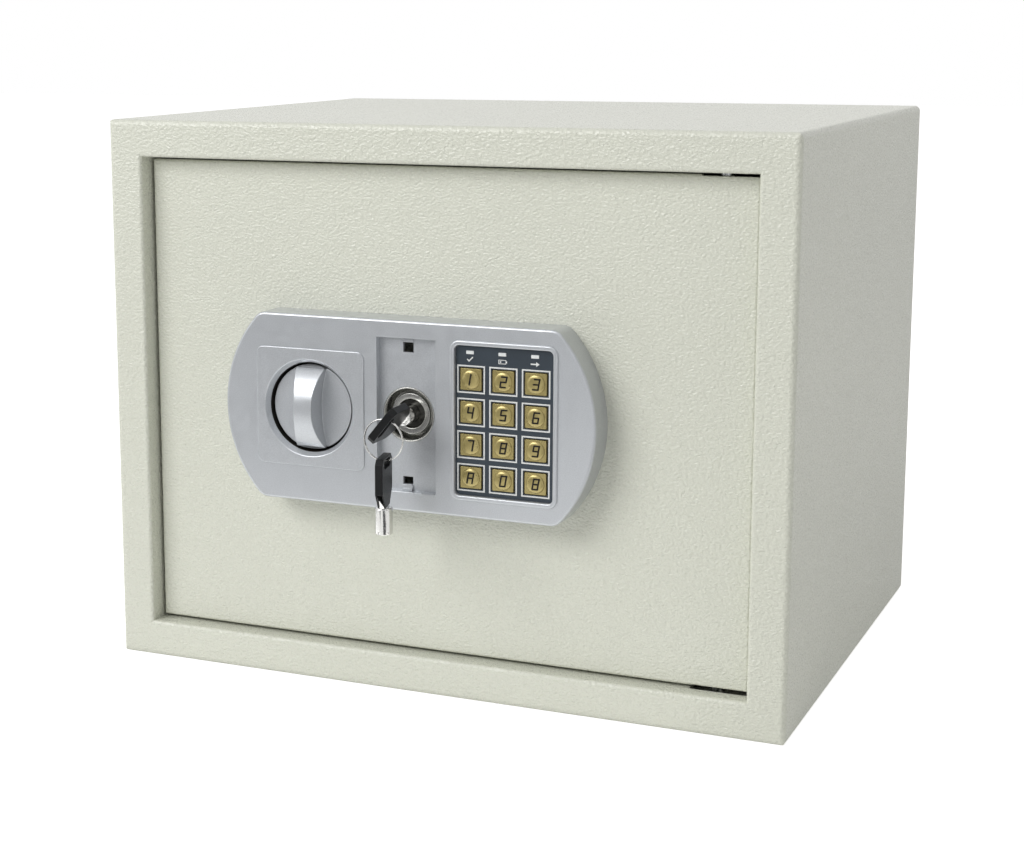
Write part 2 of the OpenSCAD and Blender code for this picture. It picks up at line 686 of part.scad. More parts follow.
module solenoid_frame() color(zinc) from_front() difference() {
    union() {
        block([lock_x - 11, plate_y, coil_z[0] - 2], [lock_x + 11, plate_y + 1.5, coil_z[1] + 2]);
        for (z = [coil_z[0] - 2, coil_z[1]])
            block([lock_x - 11, plate_y, z], [lock_x + 11, plunger_y + 9, z + 2]);
    }
    bar_z(lock_x, plunger_y, plunger_r + 0.5, coil_z[0] - 3, coil_z[1] + 3);
}

module solenoid_coil() color([0.62, 0.30, 0.12]) from_front() difference() {
    bar_z(lock_x, plunger_y, 7.5, coil_z[0], coil_z[1]);
    bar_z(lock_x, plunger_y, plunger_r + 0.4, coil_z[0] - 1, coil_z[1] + 1);
}

collar_z = tongue_z[1] + 5;
module plunger() color(steel) from_front() {
    foot_z = panel_z + cam_off * cos(45) + cam_r + 0.5;
    bar_z(lock_x, plunger_y, plunger_r, tongue_z[1] + 1.5, coil_z[0] + 20);
    bar_z(lock_x, plunger_y, 5.5, collar_z, collar_z + 3);
    block([lock_x - 3, plunger_y, collar_z], [lock_x + 3, crank_y + 2, collar_z + 3]);
    block([lock_x - 5, crank_y, foot_z], [lock_x + 5, crank_y + 2, collar_z + 3]);
    block([lock_x - 8, crank_y, foot_z], [lock_x + 8, cam_y + 3.5, foot_z + 2.5]);
}

// Spring that pushes the plunger down, one tube along a helix
spring_turns = 5;
spring_wire = 0.4;
spring_r = plunger_r + 1.1;
spring_z = [collar_z + 3 + spring_wire, coil_z[0] - 2 - spring_wire];
module plunger_spring() color(steel) from_front() {
    steps = spring_turns * 12;
    sides = 6;
    points = [for (i = [0:steps], j = [0:sides - 1])
        let (a = 360 * i / 12, b = 360 * j / sides,
             z = spring_z[0] + (spring_z[1] - spring_z[0]) * i / steps,
             r = spring_r + spring_wire * cos(b))
        [lock_x + r * cos(a), plunger_y + r * sin(a), z + spring_wire * sin(b)]];
    sides_faces = [for (i = [0:steps - 1], j = [0:sides - 1], half = [0, 1])
        let (a = i * sides + j, b = i * sides + (j + 1) % sides)
        half == 0 ? [a, b, b + sides] : [a, b + sides, a + sides]];
    end_faces = [for (j = [1:sides - 2], half = [0, 1])
        half == 0 ? [0, j + 1, j]
                  : [steps * sides, steps * sides + j, steps * sides + j + 1]];
    polyhedron(points, concat(sides_faces, end_faces), convexity = 4);
}

// A round lead through a list of points
module lead(points, r) {
    for (i = [0:len(points) - 2]) {
        run = points[i + 1] - points[i];
        translate(points[i]) rotate([0, acos(run[2] / norm(run)), atan2(run[1], run[0])])
            cylinder(r = r, h = norm(run), $fn = 24);
    }
    for (i = [1:len(points) - 2]) translate(points[i]) sphere(r = r + 0.05, $fn = 24);
}

module battery_cable() color(black) from_front()
    lead([[cable_at[0], board_y + 1.7, cable_at[1] - 2.5], [cable_at[0], plate_y + 8, cable_at[1] - 2.5],
          [tray[0] + 8, box_y - 10, tray[3] + 7], [tray[0] + 8, box_y - 10, tray[3] + 0.2]], 1.5);

module solenoid_cable() color([0.6, 0.1, 0.1]) from_front()
    lead([[cable_at[0], board_y + 1.7, cable_at[1] + 2.2], [cable_at[0], plate_y + 6, cable_at[1] + 2.2],
          [cable_at[0] - 10, plate_y + 6, coil_z[0] + 12], [lock_x + 8, plunger_y - 1, coil_z[0] + 12]], 1.2);

// ---- Keys ----

// A key drawn along +Y from the outer end of its grip, its grip in X and Y
neck_r = 1.2;
bow_cut = 2.5;
bow_taper = 8;
bow_tip = 5;
module bow_shape() color(black) {
    difference() {
        translate([0, 0, -bow_t / 2]) linear_extrude(bow_t) difference() {
            polygon([[-bow_w / 2, bow_cut], [bow_cut - bow_w / 2, 0], [bow_w / 2 - bow_cut, 0],
                     [bow_w / 2, bow_cut], [bow_w / 2, bow_l - bow_taper], [bow_tip, bow_l],
                     [-bow_tip, bow_l], [-bow_w / 2, bow_l - bow_taper]]);
            translate([0, slot_in]) slot_shape(slot_l, slot_w);
        }
        translate([0, bow_l - 12, 0]) rotate([-90, 0, 0]) cylinder(r = neck_r + 0.02, h = 14);
        // Slit across the end, in which the key's flat neck shows
        translate([-bow_w / 2, bow_l - 7.5, -neck_r - 0.05]) cube([bow_w, 9, 2 * neck_r + 0.1]);
    }
}

module blade_shape() color(chrome) {
    translate([0, bow_l - 11.8, 0]) rotate([-90, 0, 0]) cylinder(r = neck_r, h = 13);
    translate([0, 0, -neck_r]) linear_extrude(2 * neck_r)
        polygon([[-bow_w / 2 + 1, bow_l - 7.4], [bow_w / 2 - 1, bow_l - 7.4], [3.7, bow_l + 0.5],
                 [-3.7, bow_l + 0.5]]);
    difference() {
        union() {
            translate([0, bow_l + 0.2, 0]) rotate([-90, 0, 0])
                cylinder(r1 = barrel_d / 2 - 0.8, r2 = barrel_d / 2, h = 0.8);
            translate([0, bow_l + 1, 0]) rotate([-90, 0, 0]) cylinder(d = barrel_d, h = barrel_l);
        }
        translate([0, bow_l + 3, 0]) rotate([-90, 0, 0]) cylinder(d = barrel_d - 3, h = barrel_l);
        for (a = [0:60:300]) rotate([0, a, 0])
            translate([barrel_d / 2 - 0.6, bow_l + barrel_l - 1, -0.6]) cube([2, 3, 1.2]);
    }
}

module in_lock() from_front() translate([lock_x, bow_end_y, panel_z]) rotate([0, bow_turn - 90, 0])
    children();
module hanging() from_front() translate([lock_x, ring_y, spare_top_z]) rotate([0, 0, spare_turn])
    rotate([-90, 0, 0]) rotate([0, 90, 0]) children();

module key_blade() in_lock() blade_shape();
module key_bow() in_lock() bow_shape();
module spare_key_blade() hanging() blade_shape();
module spare_key_bow() hanging() bow_shape();

module key_ring() color(chrome) from_front() translate([lock_x, ring_y, ring_z])
    rotate([90, 0, 0]) rotate_extrude($fn = 96) translate([ring_r, 0]) circle(r = wire_r, $fn = 24);

// ---- Small parts inside the door ----

module reset_button() color([0.75, 0.12, 0.08]) from_front() {
    bar_y(button_x, panel_z, 3.9, box_y - 6, cover_y + 2);
    bar_y(button_x, panel_z, 5.5, box_y - 6, box_y - 4.5);
}

module battery_cover() color(black) from_front() {
    y0 = cover_y + gap;
    block([tray[0] - 3, y0, tray[2] - 3], [tray[1] + 3, y0 + 1.8, tray[3] + 3]);
    for (x = [tray[0] + 0.5, tray[1] - 2.5])
        block([x, box_y + 0.1, tray[2] + 16], [x + 2, y0 + 1, tray[3] - 1]);
    for (i = [0:4])
        block([(tray[0] + tray[1]) / 2 - 9, y0 + 1, tray[3] - 6 - 3 * i],
              [(tray[0] + tray[1]) / 2 + 9, y0 + 2.6, tray[3] - 5 - 3 * i]);
}

body_shell();
back_panel();
hinge_bracket_top();
hinge_bracket_bottom();
floor_mat();
door_plate();
door_box();
hinge_pin_top();
hinge_pin_bottom();
inner_cover();
cover_screws();
battery_tray();
battery_contacts();
batteries();
panel_moulding();
keypad_overlay();
indicator_lenses();
keypad_board();
panel_screws();
lock_housing();
lock_nut();
knob_bush();
bolt_guide();
carriage_screws();
solenoid_frame();
solenoid_coil();
plunger_spring();
battery_cable();
solenoid_cable();
knob();
knob_spindle();
knob_crank();
bolt_carriage();
bolt_upper();
bolt_lower();
lock_plug();
lock_cam();
plunger();
key_blade();
key_bow();
key_ring();
spare_key_blade();
spare_key_bow();
reset_button();
battery_cover();
button_1();
button_2();
button_3();
button_4();
button_5();
button_6();
button_7();
button_8();
button_9();
button_a();
button_0();
button_b();
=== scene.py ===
"""A small electronic home safe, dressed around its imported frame.

Every size is in metres. Depths named like part of the safe are counted back from the
cabinet's front face and turned into the frame's Y by `at`.
"""

import json
import math

import bpy
from mathutils import Matrix, Vector


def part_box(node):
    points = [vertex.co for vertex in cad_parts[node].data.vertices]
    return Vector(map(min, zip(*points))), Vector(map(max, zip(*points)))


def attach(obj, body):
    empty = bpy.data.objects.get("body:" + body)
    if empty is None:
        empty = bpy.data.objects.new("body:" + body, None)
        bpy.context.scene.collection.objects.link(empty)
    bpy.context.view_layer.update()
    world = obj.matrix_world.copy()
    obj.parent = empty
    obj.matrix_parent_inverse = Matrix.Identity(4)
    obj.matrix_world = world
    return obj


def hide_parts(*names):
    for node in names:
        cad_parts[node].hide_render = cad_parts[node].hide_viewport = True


bl_info = {
    "name": "Electronic Home Safe",
    "version": (1, 0, 0),
    "blender": (4, 5, 0),
    "location": "3D View > Sidebar > Home Safe",
    "description": "Builds the looks of an electronic home safe around its packed frame",
    "category": "Add Mesh",
}

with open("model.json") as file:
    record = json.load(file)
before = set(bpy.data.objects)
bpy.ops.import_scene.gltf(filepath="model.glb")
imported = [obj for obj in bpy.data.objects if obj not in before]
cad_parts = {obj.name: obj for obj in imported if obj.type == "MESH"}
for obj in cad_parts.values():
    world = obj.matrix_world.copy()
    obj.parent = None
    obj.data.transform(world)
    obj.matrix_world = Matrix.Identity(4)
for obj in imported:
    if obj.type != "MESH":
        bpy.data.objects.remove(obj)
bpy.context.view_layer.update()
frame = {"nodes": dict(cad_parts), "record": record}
NODES = frame["nodes"]

MM = 0.001
FRONT = -0.150


def at(x, y, z):
    """A point in millimetres, y counted back from the cabinet's front face, in the frame."""
    return Vector((x * MM, FRONT + y * MM, z * MM))


# ---- Sizes and colours that a user would change ----


class SafePaintSettings(bpy.types.PropertyGroup):
    cream: bpy.props.FloatVectorProperty(
        name="Cabinet paint", description="Colour of the textured powder coat",
        subtype="COLOR", size=3, min=0.0, max=1.0, default=(0.68, 0.69, 0.60))
    silver: bpy.props.FloatVectorProperty(
        name="Panel lacquer", description="Colour of the metallic lacquer on panel and knob",
        subtype="COLOR", size=3, min=0.0, max=1.0, default=(0.515, 0.535, 0.56))
    gold: bpy.props.FloatVectorProperty(
        name="Key gold", description="Colour of the keypad's keys",
        subtype="COLOR", size=3, min=0.0, max=1.0, default=(0.41, 0.335, 0.13))
    slate: bpy.props.FloatVectorProperty(
        name="Keypad film", description="Colour of the film around the keys",
        subtype="COLOR", size=3, min=0.0, max=1.0, default=(0.030, 0.042, 0.056))
    peel_size: bpy.props.FloatProperty(
        name="Coat ripple", description="Size of the ripples in the powder coat",
        subtype="DISTANCE", unit="LENGTH", default=0.0013, min=0.0005, max=0.02)
    peel_depth: bpy.props.FloatProperty(
        name="Coat ripple depth", description="Depth of the ripples in the powder coat",
        subtype="DISTANCE", unit="LENGTH", default=0.00066, min=0.0, max=0.002)


class SafeStudioSettings(bpy.types.PropertyGroup):
    turn: bpy.props.FloatProperty(
        name="Camera turn", description="How far the camera stands to the right of straight ahead",
        subtype="ANGLE", unit="ROTATION", default=math.radians(24.47))
    tilt: bpy.props.FloatProperty(
        name="Camera tilt", description="How far the camera looks down",
        subtype="ANGLE", unit="ROTATION", default=math.radians(10.0))
    roll: bpy.props.FloatProperty(
        name="Camera roll", description="How far the camera leans",
        subtype="ANGLE", unit="ROTATION", default=math.radians(-0.27))
    place: bpy.props.FloatVectorProperty(
        name="Camera place", description="Where the camera stands",
        subtype="XYZ", unit="LENGTH", size=3, default=(0.4052, -1.0683, 0.3530))
    lens: bpy.props.FloatProperty(
        name="Focal length", description="Focal length in millimetres on a 36 mm sensor",
        default=69.69, min=20.0, max=200.0)
    key_light: bpy.props.FloatProperty(
        name="Key light", description="Power of the large light in front",
        unit="POWER", default=54.0, min=0.0)
    room_light: bpy.props.FloatProperty(
        name="Room light", description="Brightness of the light from all around",
        default=0.39, min=0.0, max=2.0)


# ---- Finishes ----

NOISE_SPAN = (0.3, 0.7)


class Finish:
    """A procedural material: one Principled surface whose patterns read Object coordinates."""

    def __init__(self, name, colour, roughness, **sockets):
        self.material = bpy.data.materials.new(name)
        self.material.use_nodes = True
        self.nodes = self.material.node_tree.nodes
        self.links = self.material.node_tree.links
        self.surface = self.nodes["Principled BSDF"]
        self.surface.inputs["Base Color"].default_value = (*colour, 1.0)
        self.surface.inputs["Roughness"].default_value = roughness
        for socket, value in sockets.items():
            self.surface.inputs[socket.replace("_", " ")].default_value = value
        self.colour = colour
        self.place = self.nodes.new("ShaderNodeTexCoord").outputs["Object"]
        self.normal = None
        self.patterns = {}

    def noise(self, size, detail=2.0, rough=0.5, distortion=0.0, stretch=None):
        """Cloudy pattern whose patches are about `size` metres across, made once."""
        pattern = (size, detail, rough, distortion, stretch)
        if pattern in self.patterns:
            return self.patterns[pattern]
        noise = self.nodes.new("ShaderNodeTexNoise")
        noise.inputs["Scale"].default_value = 1.0 / size
        noise.inputs["Detail"].default_value = detail
        noise.inputs["Roughness"].default_value = rough
        noise.inputs["Distortion"].default_value = distortion
        place = self.place
        if stretch:
            mapping = self.nodes.new("ShaderNodeMapping")
            mapping.inputs["Scale"].default_value = stretch
            self.links.new(place, mapping.inputs["Vector"])
            place = mapping.outputs["Vector"]
        self.links.new(place, noise.inputs["Vector"])
        self.patterns[pattern] = noise.outputs["Fac"]
        return self.patterns[pattern]

    def spread(self, value, low, high):
        """Maps a pattern's usual span to low..high."""
        spread = self.nodes.new("ShaderNodeMapRange")
        for side, bound in zip(("From Min", "From Max"), NOISE_SPAN):
            spread.inputs[side].default_value = bound
        spread.inputs["To Min"].default_value = low
        spread.inputs["To Max"].default_value = high
        self.links.new(value, spread.inputs["Value"])
        return spread.outputs["Result"]

    def tint(self, value, first, second):
        """Mixes two shades of the finish's colour."""
        mix = self.nodes.new("ShaderNodeMix")
        mix.data_type = "RGBA"
        mix.inputs["A"].default_value = (*[c * first for c in self.colour], 1.0)
        mix.inputs["B"].default_value = (*[c * second for c in self.colour], 1.0)
        self.links.new(self.spread(value, 0.0, 1.0), mix.inputs["Factor"])
        self.links.new(mix.outputs["Result"], self.surface.inputs["Base Color"])

    def sheen_break(self, value, low, high):
        """Lets the roughness vary with a pattern."""
        self.links.new(self.spread(value, low, high), self.surface.inputs["Roughness"])

    def relief(self, value, depth):
        """Raises the surface by a pattern, `depth` metres from its low to its high."""
        bump = self.nodes.new("ShaderNodeBump")
        bump.inputs["Strength"].default_value = 1.0
        bump.inputs["Distance"].default_value = depth
        self.links.new(value, bump.inputs["Height"])
        if self.normal:
            self.links.new(self.normal, bump.inputs["Normal"])
        self.normal = bump.outputs["Normal"]
        self.links.new(self.normal, self.surface.inputs["Normal"])


POLISHED = (0.0012, 3.0, 0.5, 0.0, (1.0, 0.15, 1.0))
TURNED = (0.0007, 2.0, 0.5, 0.0, (1.0, 0.08, 0.08))
WOUND = (0.0006, 1.0, 0.5, 0.0, (0.05, 0.05, 1.0))
FELTED = (0.0011, 4.0, 0.7, 1.5)
CLOUDED = (0.012, 4.0, 0.6)

# Each finish's colour or the setting that holds it, its Principled values and its patterns.
# A pattern is a size in metres and a noise's detail, roughness, distortion and stretch.
# Two levels of shade or of roughness follow it, or the depth of its relief in metres.
FINISHES = {
    "silver_lacquer": dict(
        colour="silver", roughness=0.34, Metallic=0.5, Coat_Weight=0.5, Coat_Roughness=0.12,
        tint=((0.00045, 1.0), 0.93, 1.07), sheen_break=((0.004, 3.0), 0.30, 0.38),
        relief=((0.00045, 1.0), 0.000012)),
    "gold_key_lacquer": dict(
        colour="gold", roughness=0.28, Metallic=0.62, Coat_Weight=0.4, Coat_Roughness=0.2,
        tint=((0.0004, 1.0), 0.98, 1.02), sheen_break=((0.003,), 0.27, 0.30)),
    "keypad_film_print": dict(
        colour="slate", roughness=0.38, Specular_IOR_Level=0.45,
        tint=((0.02,), 0.9, 1.1), sheen_break=((0.0004,), 0.34, 0.44),
        relief=((0.0004,), 0.000008)),
    "lens_milk": dict(
        colour=(0.80, 0.82, 0.82), roughness=0.25, Subsurface_Weight=0.2,
        Subsurface_Radius=(0.001, 0.001, 0.001),
        tint=((0.002,), 0.96, 1.02), relief=((0.0008,), 0.00001)),
    "grip_plastic": dict(
        colour=(0.006, 0.0065, 0.007), roughness=0.30, Specular_IOR_Level=0.22,
        tint=((0.006,), 0.85, 1.25), sheen_break=((0.0005,), 0.28, 0.42),
        relief=((0.0005,), 0.00003)),
    "bright_nickel": dict(
        colour=(0.74, 0.735, 0.72), roughness=0.10, Metallic=1.0, tint=((0.004,), 0.96, 1.02),
        sheen_break=(POLISHED, 0.08, 0.15), relief=(POLISHED, 0.000002)),
    "dark_chrome": dict(
        colour=(0.46, 0.46, 0.44), roughness=0.24, Metallic=1.0, tint=((0.004,), 0.95, 1.03),
        sheen_break=((0.0015,), 0.21, 0.27), relief=((0.0015,), 0.000002)),
    # Near-black steel: painted shade for the lock's deep socket.
    "blackened_steel": dict(
        colour=(0.055, 0.055, 0.05), roughness=0.22, Metallic=1.0, tint=((0.004,), 0.9, 1.1),
        sheen_break=((0.0015,), 0.18, 0.26), relief=((0.0015,), 0.000002)),
    "zinc_plating": dict(
        colour=(0.56, 0.55, 0.49), roughness=0.33, Metallic=0.95,
        tint=(CLOUDED, 0.86, 1.08), sheen_break=(CLOUDED, 0.26, 0.42),
        relief=((0.0008,), 0.00001)),
    "turned_steel": dict(
        colour=(0.52, 0.53, 0.54), roughness=0.25, Metallic=1.0, tint=((0.01,), 0.94, 1.04),
        sheen_break=(TURNED, 0.18, 0.32), relief=(TURNED, 0.000008)),
    "needle_felt": dict(
        colour=(0.045, 0.046, 0.050), roughness=0.95, Sheen_Weight=0.5, Sheen_Roughness=0.6,
        tint=(FELTED, 0.6, 1.5), sheen_break=(FELTED, 0.88, 1.0), relief=(FELTED, 0.0005)),
    "solder_mask": dict(
        colour=(0.020, 0.13, 0.05), roughness=0.30,
        tint=((0.002, 1.0), 0.8, 1.2), relief=((0.001,), 0.00002)),
    "enamelled_copper": dict(
        colour=(0.50, 0.20, 0.07), roughness=0.30, Metallic=0.85,
        tint=(WOUND, 0.6, 1.2), relief=(WOUND, 0.0001)),
    "cell_sleeve": dict(
        colour=(0.05, 0.12, 0.22), roughness=0.28, Coat_Weight=0.4,
        tint=((0.01,), 0.9, 1.1), relief=((0.002,), 0.00001)),
    "cable_sheath": dict(
        colour=(0.03, 0.03, 0.032), roughness=0.5,
        tint=((0.004,), 0.8, 1.3), relief=((0.0008,), 0.00003)),
    "red_moulding": dict(
        colour=(0.45, 0.03, 0.02), roughness=0.32,
        tint=((0.005,), 0.92, 1.06), relief=((0.0006,), 0.00002)),
    "white_print": dict(
        colour=(0.74, 0.75, 0.74), roughness=0.45,
        tint=((0.003,), 0.94, 1.03), relief=((0.0004,), 0.000005)),
    # Black print of the key figures, also used as painted shade on the deep faces of the knob's
    # cup.
    "black_print": dict(
        colour=(0.012, 0.010, 0.008), roughness=0.55, Specular_IOR_Level=0.2,
        tint=((0.003,), 0.85, 1.2), relief=((0.0004,), 0.000005)),
    "grey_card": dict(colour=(0.22, 0.22, 0.225), roughness=1.0),
    "dark_card": dict(colour=(0.07, 0.07, 0.075), roughness=1.0),
    "bright_card": dict(colour=(0.8, 0.8, 0.8), roughness=1.0,
                        Emission_Color=(1.0, 1.0, 1.0, 1.0), Emission_Strength=0.85),
}

SLOT_FINISHES = {
    "cream_paint": "cream_powder_coat",
    "grey_felt": "needle_felt",
    "silver_moulding": "silver_lacquer",
    "keypad_film": "keypad_film_print",
    "lamp_lens": "lens_milk",
    "gold_keys": "gold_key_lacquer",
    "black_plastic": "grip_plastic",
    "chrome_plate": "bright_nickel",
    "zinc_plate": "zinc_plating",
    "bright_steel": "turned_steel",
    "circuit_board": "solder_mask",
    "copper_wire": "enamelled_copper",
    "cell_wrap": "cell_sleeve",
    "cable_skin": "cable_sheath",
    "red_plastic": "red_moulding",
}


def cream_powder_coat(paint):
    """Powder coat with a fine wrinkle, whose size and depth are settings."""
    coat = Finish("cream_powder_coat", paint.cream, 0.29, Specular_IOR_Level=0.6)
    ripple = coat.noise(paint.peel_size, 1.0, 0.4, 0.35, (0.8, 0.8, 1.1))
    speck = coat.noise(0.0009)
    coat.tint(coat.noise(0.11, 3.0), 0.985, 1.012)
    coat.sheen_break(speck, 0.25, 0.34)
    coat.relief(ripple, paint.peel_depth)
    coat.relief(speck, 0.00002)
    return coat.material


def finish(name):
    """The named finish, made once."""
    if name in bpy.data.materials:
        return bpy.data.materials[name]
    paint = bpy.context.scene.safe_paint
    if name == "cream_powder_coat":
        return cream_powder_coat(paint)
    row = dict(FINISHES[name])
    uses = {use: row.pop(use) for use in ("tint", "sheen_break", "relief") if use in row}
    if isinstance(row["colour"], str):
        row["colour"] = getattr(paint, row["colour"])
    made = Finish(name, **row)
    for use, (pattern, *levels) in uses.items():
        getattr(made, use)(made.noise(*pattern), *levels)
    return made.material


# ---- Modelling helpers ----


def only(piece=None):
    """Leaves this piece alone selected and active, in object mode."""
    if bpy.context.mode != "OBJECT":
        bpy.ops.object.mode_set(mode="OBJECT")
    bpy.ops.object.select_all(action="DESELECT")
    if piece:
        piece.select_set(True)
        bpy.context.view_layer.objects.active = piece
    return piece


def named(piece, name):
    """Names a piece and its mesh."""
    piece.name = piece.data.name = name
    return piece


def fresh(add, name, **how):
    """Adds a primitive with nothing else selected, and keeps its place in its mesh."""
    only()
    add(**how)
    bpy.ops.object.transform_apply()
    return named(bpy.context.active_object, name)


def block(name, low, high):
    """A block between its lowest and highest corners, in millimetres."""
    low, high = at(*low), at(*high)
    return brick(name, (low + high) / 2, high - low)


def brick(name, centre, size):
    """A block round its centre, in metres."""
    only()
    bpy.ops.mesh.primitive_cube_add(size=1.0, location=centre)
    bpy.ops.transform.resize(value=size)
    bpy.ops.object.transform_apply()
    return named(bpy.context.active_object, name)


def bar(name, x, z, r, y0, y1, sides=64):
    """A round bar along Y, in millimetres."""
    return fresh(bpy.ops.mesh.primitive_cylinder_add, name, vertices=sides, radius=r * MM,
                 depth=(y1 - y0) * MM, location=at(x, (y0 + y1) / 2, z),
                 rotation=(math.pi / 2, 0.0, 0.0))


def wire_loop(name, points, fill="NOTHING"):
    """A closed loop: a circle whose vertices are placed one by one."""
    loop = fresh(bpy.ops.mesh.primitive_circle_add, name, vertices=len(points), radius=0.01,
                 fill_type=fill)
    for vertex, point in zip(loop.data.vertices, points):
        vertex.co = point
    return loop


def thick(name, outline, y0, y1):
    """An outline of (x, z) points in millimetres made thick from y0 back to y1."""
    return pulled(wire_loop(name, [at(x, y0, z) for x, z in outline], fill="NGON"),
                  (0.0, (y1 - y0) * MM, 0.0))


def pulled(piece, shift):
    """Makes a sheet solid by pulling its faces, by a shift in metres."""
    choose(piece, "FACE")
    bpy.ops.mesh.extrude_region_move(TRANSFORM_OT_translate={"value": shift})
    return outwards(piece)


def lathe(name, x, z, section, steps=72):
    """A closed section of (radius, depth) points spun round an axis along Y."""
    piece = wire_loop(name, [at(x + r, y, z) for r, y in section])
    choose(piece, "EDGE")
    bpy.ops.mesh.spin(steps=steps, angle=math.tau, center=at(x, 0.0, z), axis=(0.0, 1.0, 0.0))
    return outwards(piece)


def outwards(piece):
    """Merges doubles and turns every face to the outside."""
    choose(piece, "VERT")
    bpy.ops.mesh.remove_doubles(threshold=0.000002)
    bpy.ops.mesh.normals_make_consistent(inside=False)
    return only(piece)


def in_mm(place):
    return Vector((place.x / MM, (place.y - FRONT) / MM, place.z / MM))


def choose(piece, kind, test=None):
    """Enters edit mode and selects what passes the test of its place and direction."""
    only(piece)
    bpy.ops.object.mode_set(mode="EDIT")
    bpy.ops.mesh.select_mode(type=kind)
    bpy.ops.mesh.select_all(action="DESELECT" if test else "SELECT")
    if not test:
        return piece
    bpy.ops.object.mode_set(mode="OBJECT")
    corners = [in_mm(vertex.co) for vertex in piece.data.vertices]
    if kind == "FACE":
        for face in piece.data.polygons:
            face.select = test(in_mm(face.center), face.normal)
    else:
        for edge in piece.data.edges:
            a, b = (corners[i] for i in edge.vertices)
            edge.select = test((a + b) / 2, (b - a).normalized())
    bpy.ops.object.mode_set(mode="EDIT")
    return piece


def round_off(piece, test, r, segments=3):
    """Bevels the edges that pass the test to a radius in millimetres."""
    choose(piece, "EDGE", test)
    bpy.ops.mesh.bevel(offset=r * MM, segments=segments, affect="EDGES")
    return only(piece)


def tidy(piece, flat=0.4):
    """Merges stray corners and dissolves needless edges of flat faces."""
    choose(piece, "VERT")
    bpy.ops.mesh.remove_doubles(threshold=0.00001)
    bpy.ops.mesh.dissolve_limited(angle_limit=math.radians(flat))
    return only(piece)


def apply_modifier(piece, kind, **settings):
    only(piece)
    modifier = piece.modifiers.new(kind.lower(), kind)
    for name, value in settings.items():
        setattr(modifier, name, value)
    bpy.ops.object.modifier_apply(modifier=modifier.name)
    return piece


def soften(piece, r, segments=2, angle=30.0, smooth=40.0):
    """Rounds every sharp edge to a radius in millimetres and shades the piece smooth."""
    apply_modifier(piece, "BEVEL", width=r * MM, segments=segments, limit_method="ANGLE",
                   angle_limit=math.radians(angle), use_clamp_overlap=False,
                   miter_outer="MITER_SHARP")
    return smooth_shaded(piece, smooth)


def smooth_shaded(piece, angle=40.0):
    """Shades smooth across edges below the angle, with flat faces kept flat."""
    only(piece)
    bpy.ops.object.shade_smooth_by_angle(angle=math.radians(angle))
    return apply_modifier(piece, "WEIGHTED_NORMAL", keep_sharp=True, weight=80)


def join(first, *others):
    only(first)
    for other in others:
        other.select_set(True)
    bpy.ops.object.join()
    return first


def combine(piece, others, operation):
    """Adds, cuts or keeps in common with other solids, which are used up."""
    tool = join(*others)
    apply_modifier(piece, "BOOLEAN", operation=operation, object=tool, solver="EXACT",
                   use_self=len(others) > 1)
    only(tool)
    bpy.ops.object.delete()
    return piece


def copy_of(piece, name):
    only(piece)
    bpy.ops.object.duplicate()
    return named(bpy.context.active_object, name)


def moved(piece, matrix):
    only(piece)
    piece.matrix_world = matrix
    bpy.ops.object.transform_apply()
    return piece


def settle(piece, body, slot, *nodes, look=None):
    """Gives a finished piece its finish, the body it rides on and the nodes it stands for."""
    only(piece)
    piece.data.materials.clear()
    piece.data.materials.append(finish(look or SLOT_FINISHES[slot]))
    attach(piece, body)
    if nodes:
        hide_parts(*nodes)
    return piece


def arc(x, z, r, start, end, steps):
    """Points round a centre, between two angles in degrees."""
    return [(x + r * math.cos(math.radians(start + (end - start) * i / steps)),
             z + r * math.sin(math.radians(start + (end - start) * i / steps)))
            for i in range(steps + 1)]


def soft_rectangle(left, right, low, high, r, steps=6):
    """Points round a rectangle with round corners."""
    centres = ((right - r, high - r), (left + r, high - r),
               (left + r, low + r), (right - r, low + r))
    return [point for i, (x, z) in enumerate(centres)
            for point in arc(x, z, r, 90 * i, 90 * i + 90, steps)]


# ---- Places on the control panel, in millimetres ----

PANEL_X, PANEL_Z, OUTLINE_Z = -11.0, 151.5, 151.05
PANEL_Y, DOOR_Y = -8.0, 10.0
FIELD_Y = PANEL_Y - 0.7
BEAD_Y = PANEL_Y - 0.9
KNOB_X, LOCK_X, KEYS_X = -65.4, -9.9, 43.6
PITCH_X, PITCH_Z = 17.55, 17.0
KEY_COLUMNS = [KEYS_X - PITCH_X, KEYS_X, KEYS_X + PITCH_X]
KEY_ROWS = [173.0 - PITCH_Z * row for row in range(4)]
KEY_HOLE = (6.4, 6.0)
WELL = (17.6, 70.9, 112.7, 190.4)
RECESS = (-26.2, 6.9, 111.3, 191.9)
FILM_Y = PANEL_Y + 1.5
RECESS_Y = PANEL_Y + 4.3
LAMPS = [x - 0.6 for x in KEY_COLUMNS]
LAMP_Z, LAMP_HALF = 186.8, (2.1, 0.9)
CUP_DEPTH, CUP_R = 2.9, 24.0
UPPER_CATCH, LOWER_CATCH = (-12.9, -7.0), (-13.2, -7.5)
COLLAR_R = 14.4
PANEL_SCREWS = [(PANEL_X + sx * 92, PANEL_Z + sz * 28) for sx in (-1, 1) for sz in (-1, 1)]


def openings(y0, y1, slack=0.0):
    """Cutters for the twelve keys and the three lamps, from y0 back to y1."""
    places = [(x, z, *KEY_HOLE) for z in KEY_ROWS for x in KEY_COLUMNS]
    places += [(x, LAMP_Z, LAMP_HALF[0] + slack, LAMP_HALF[1] + slack) for x in LAMPS]
    return [block("opening", (x - across, y0, z - up), (x + across, y1, z + up))
            for x, z, across, up in places]


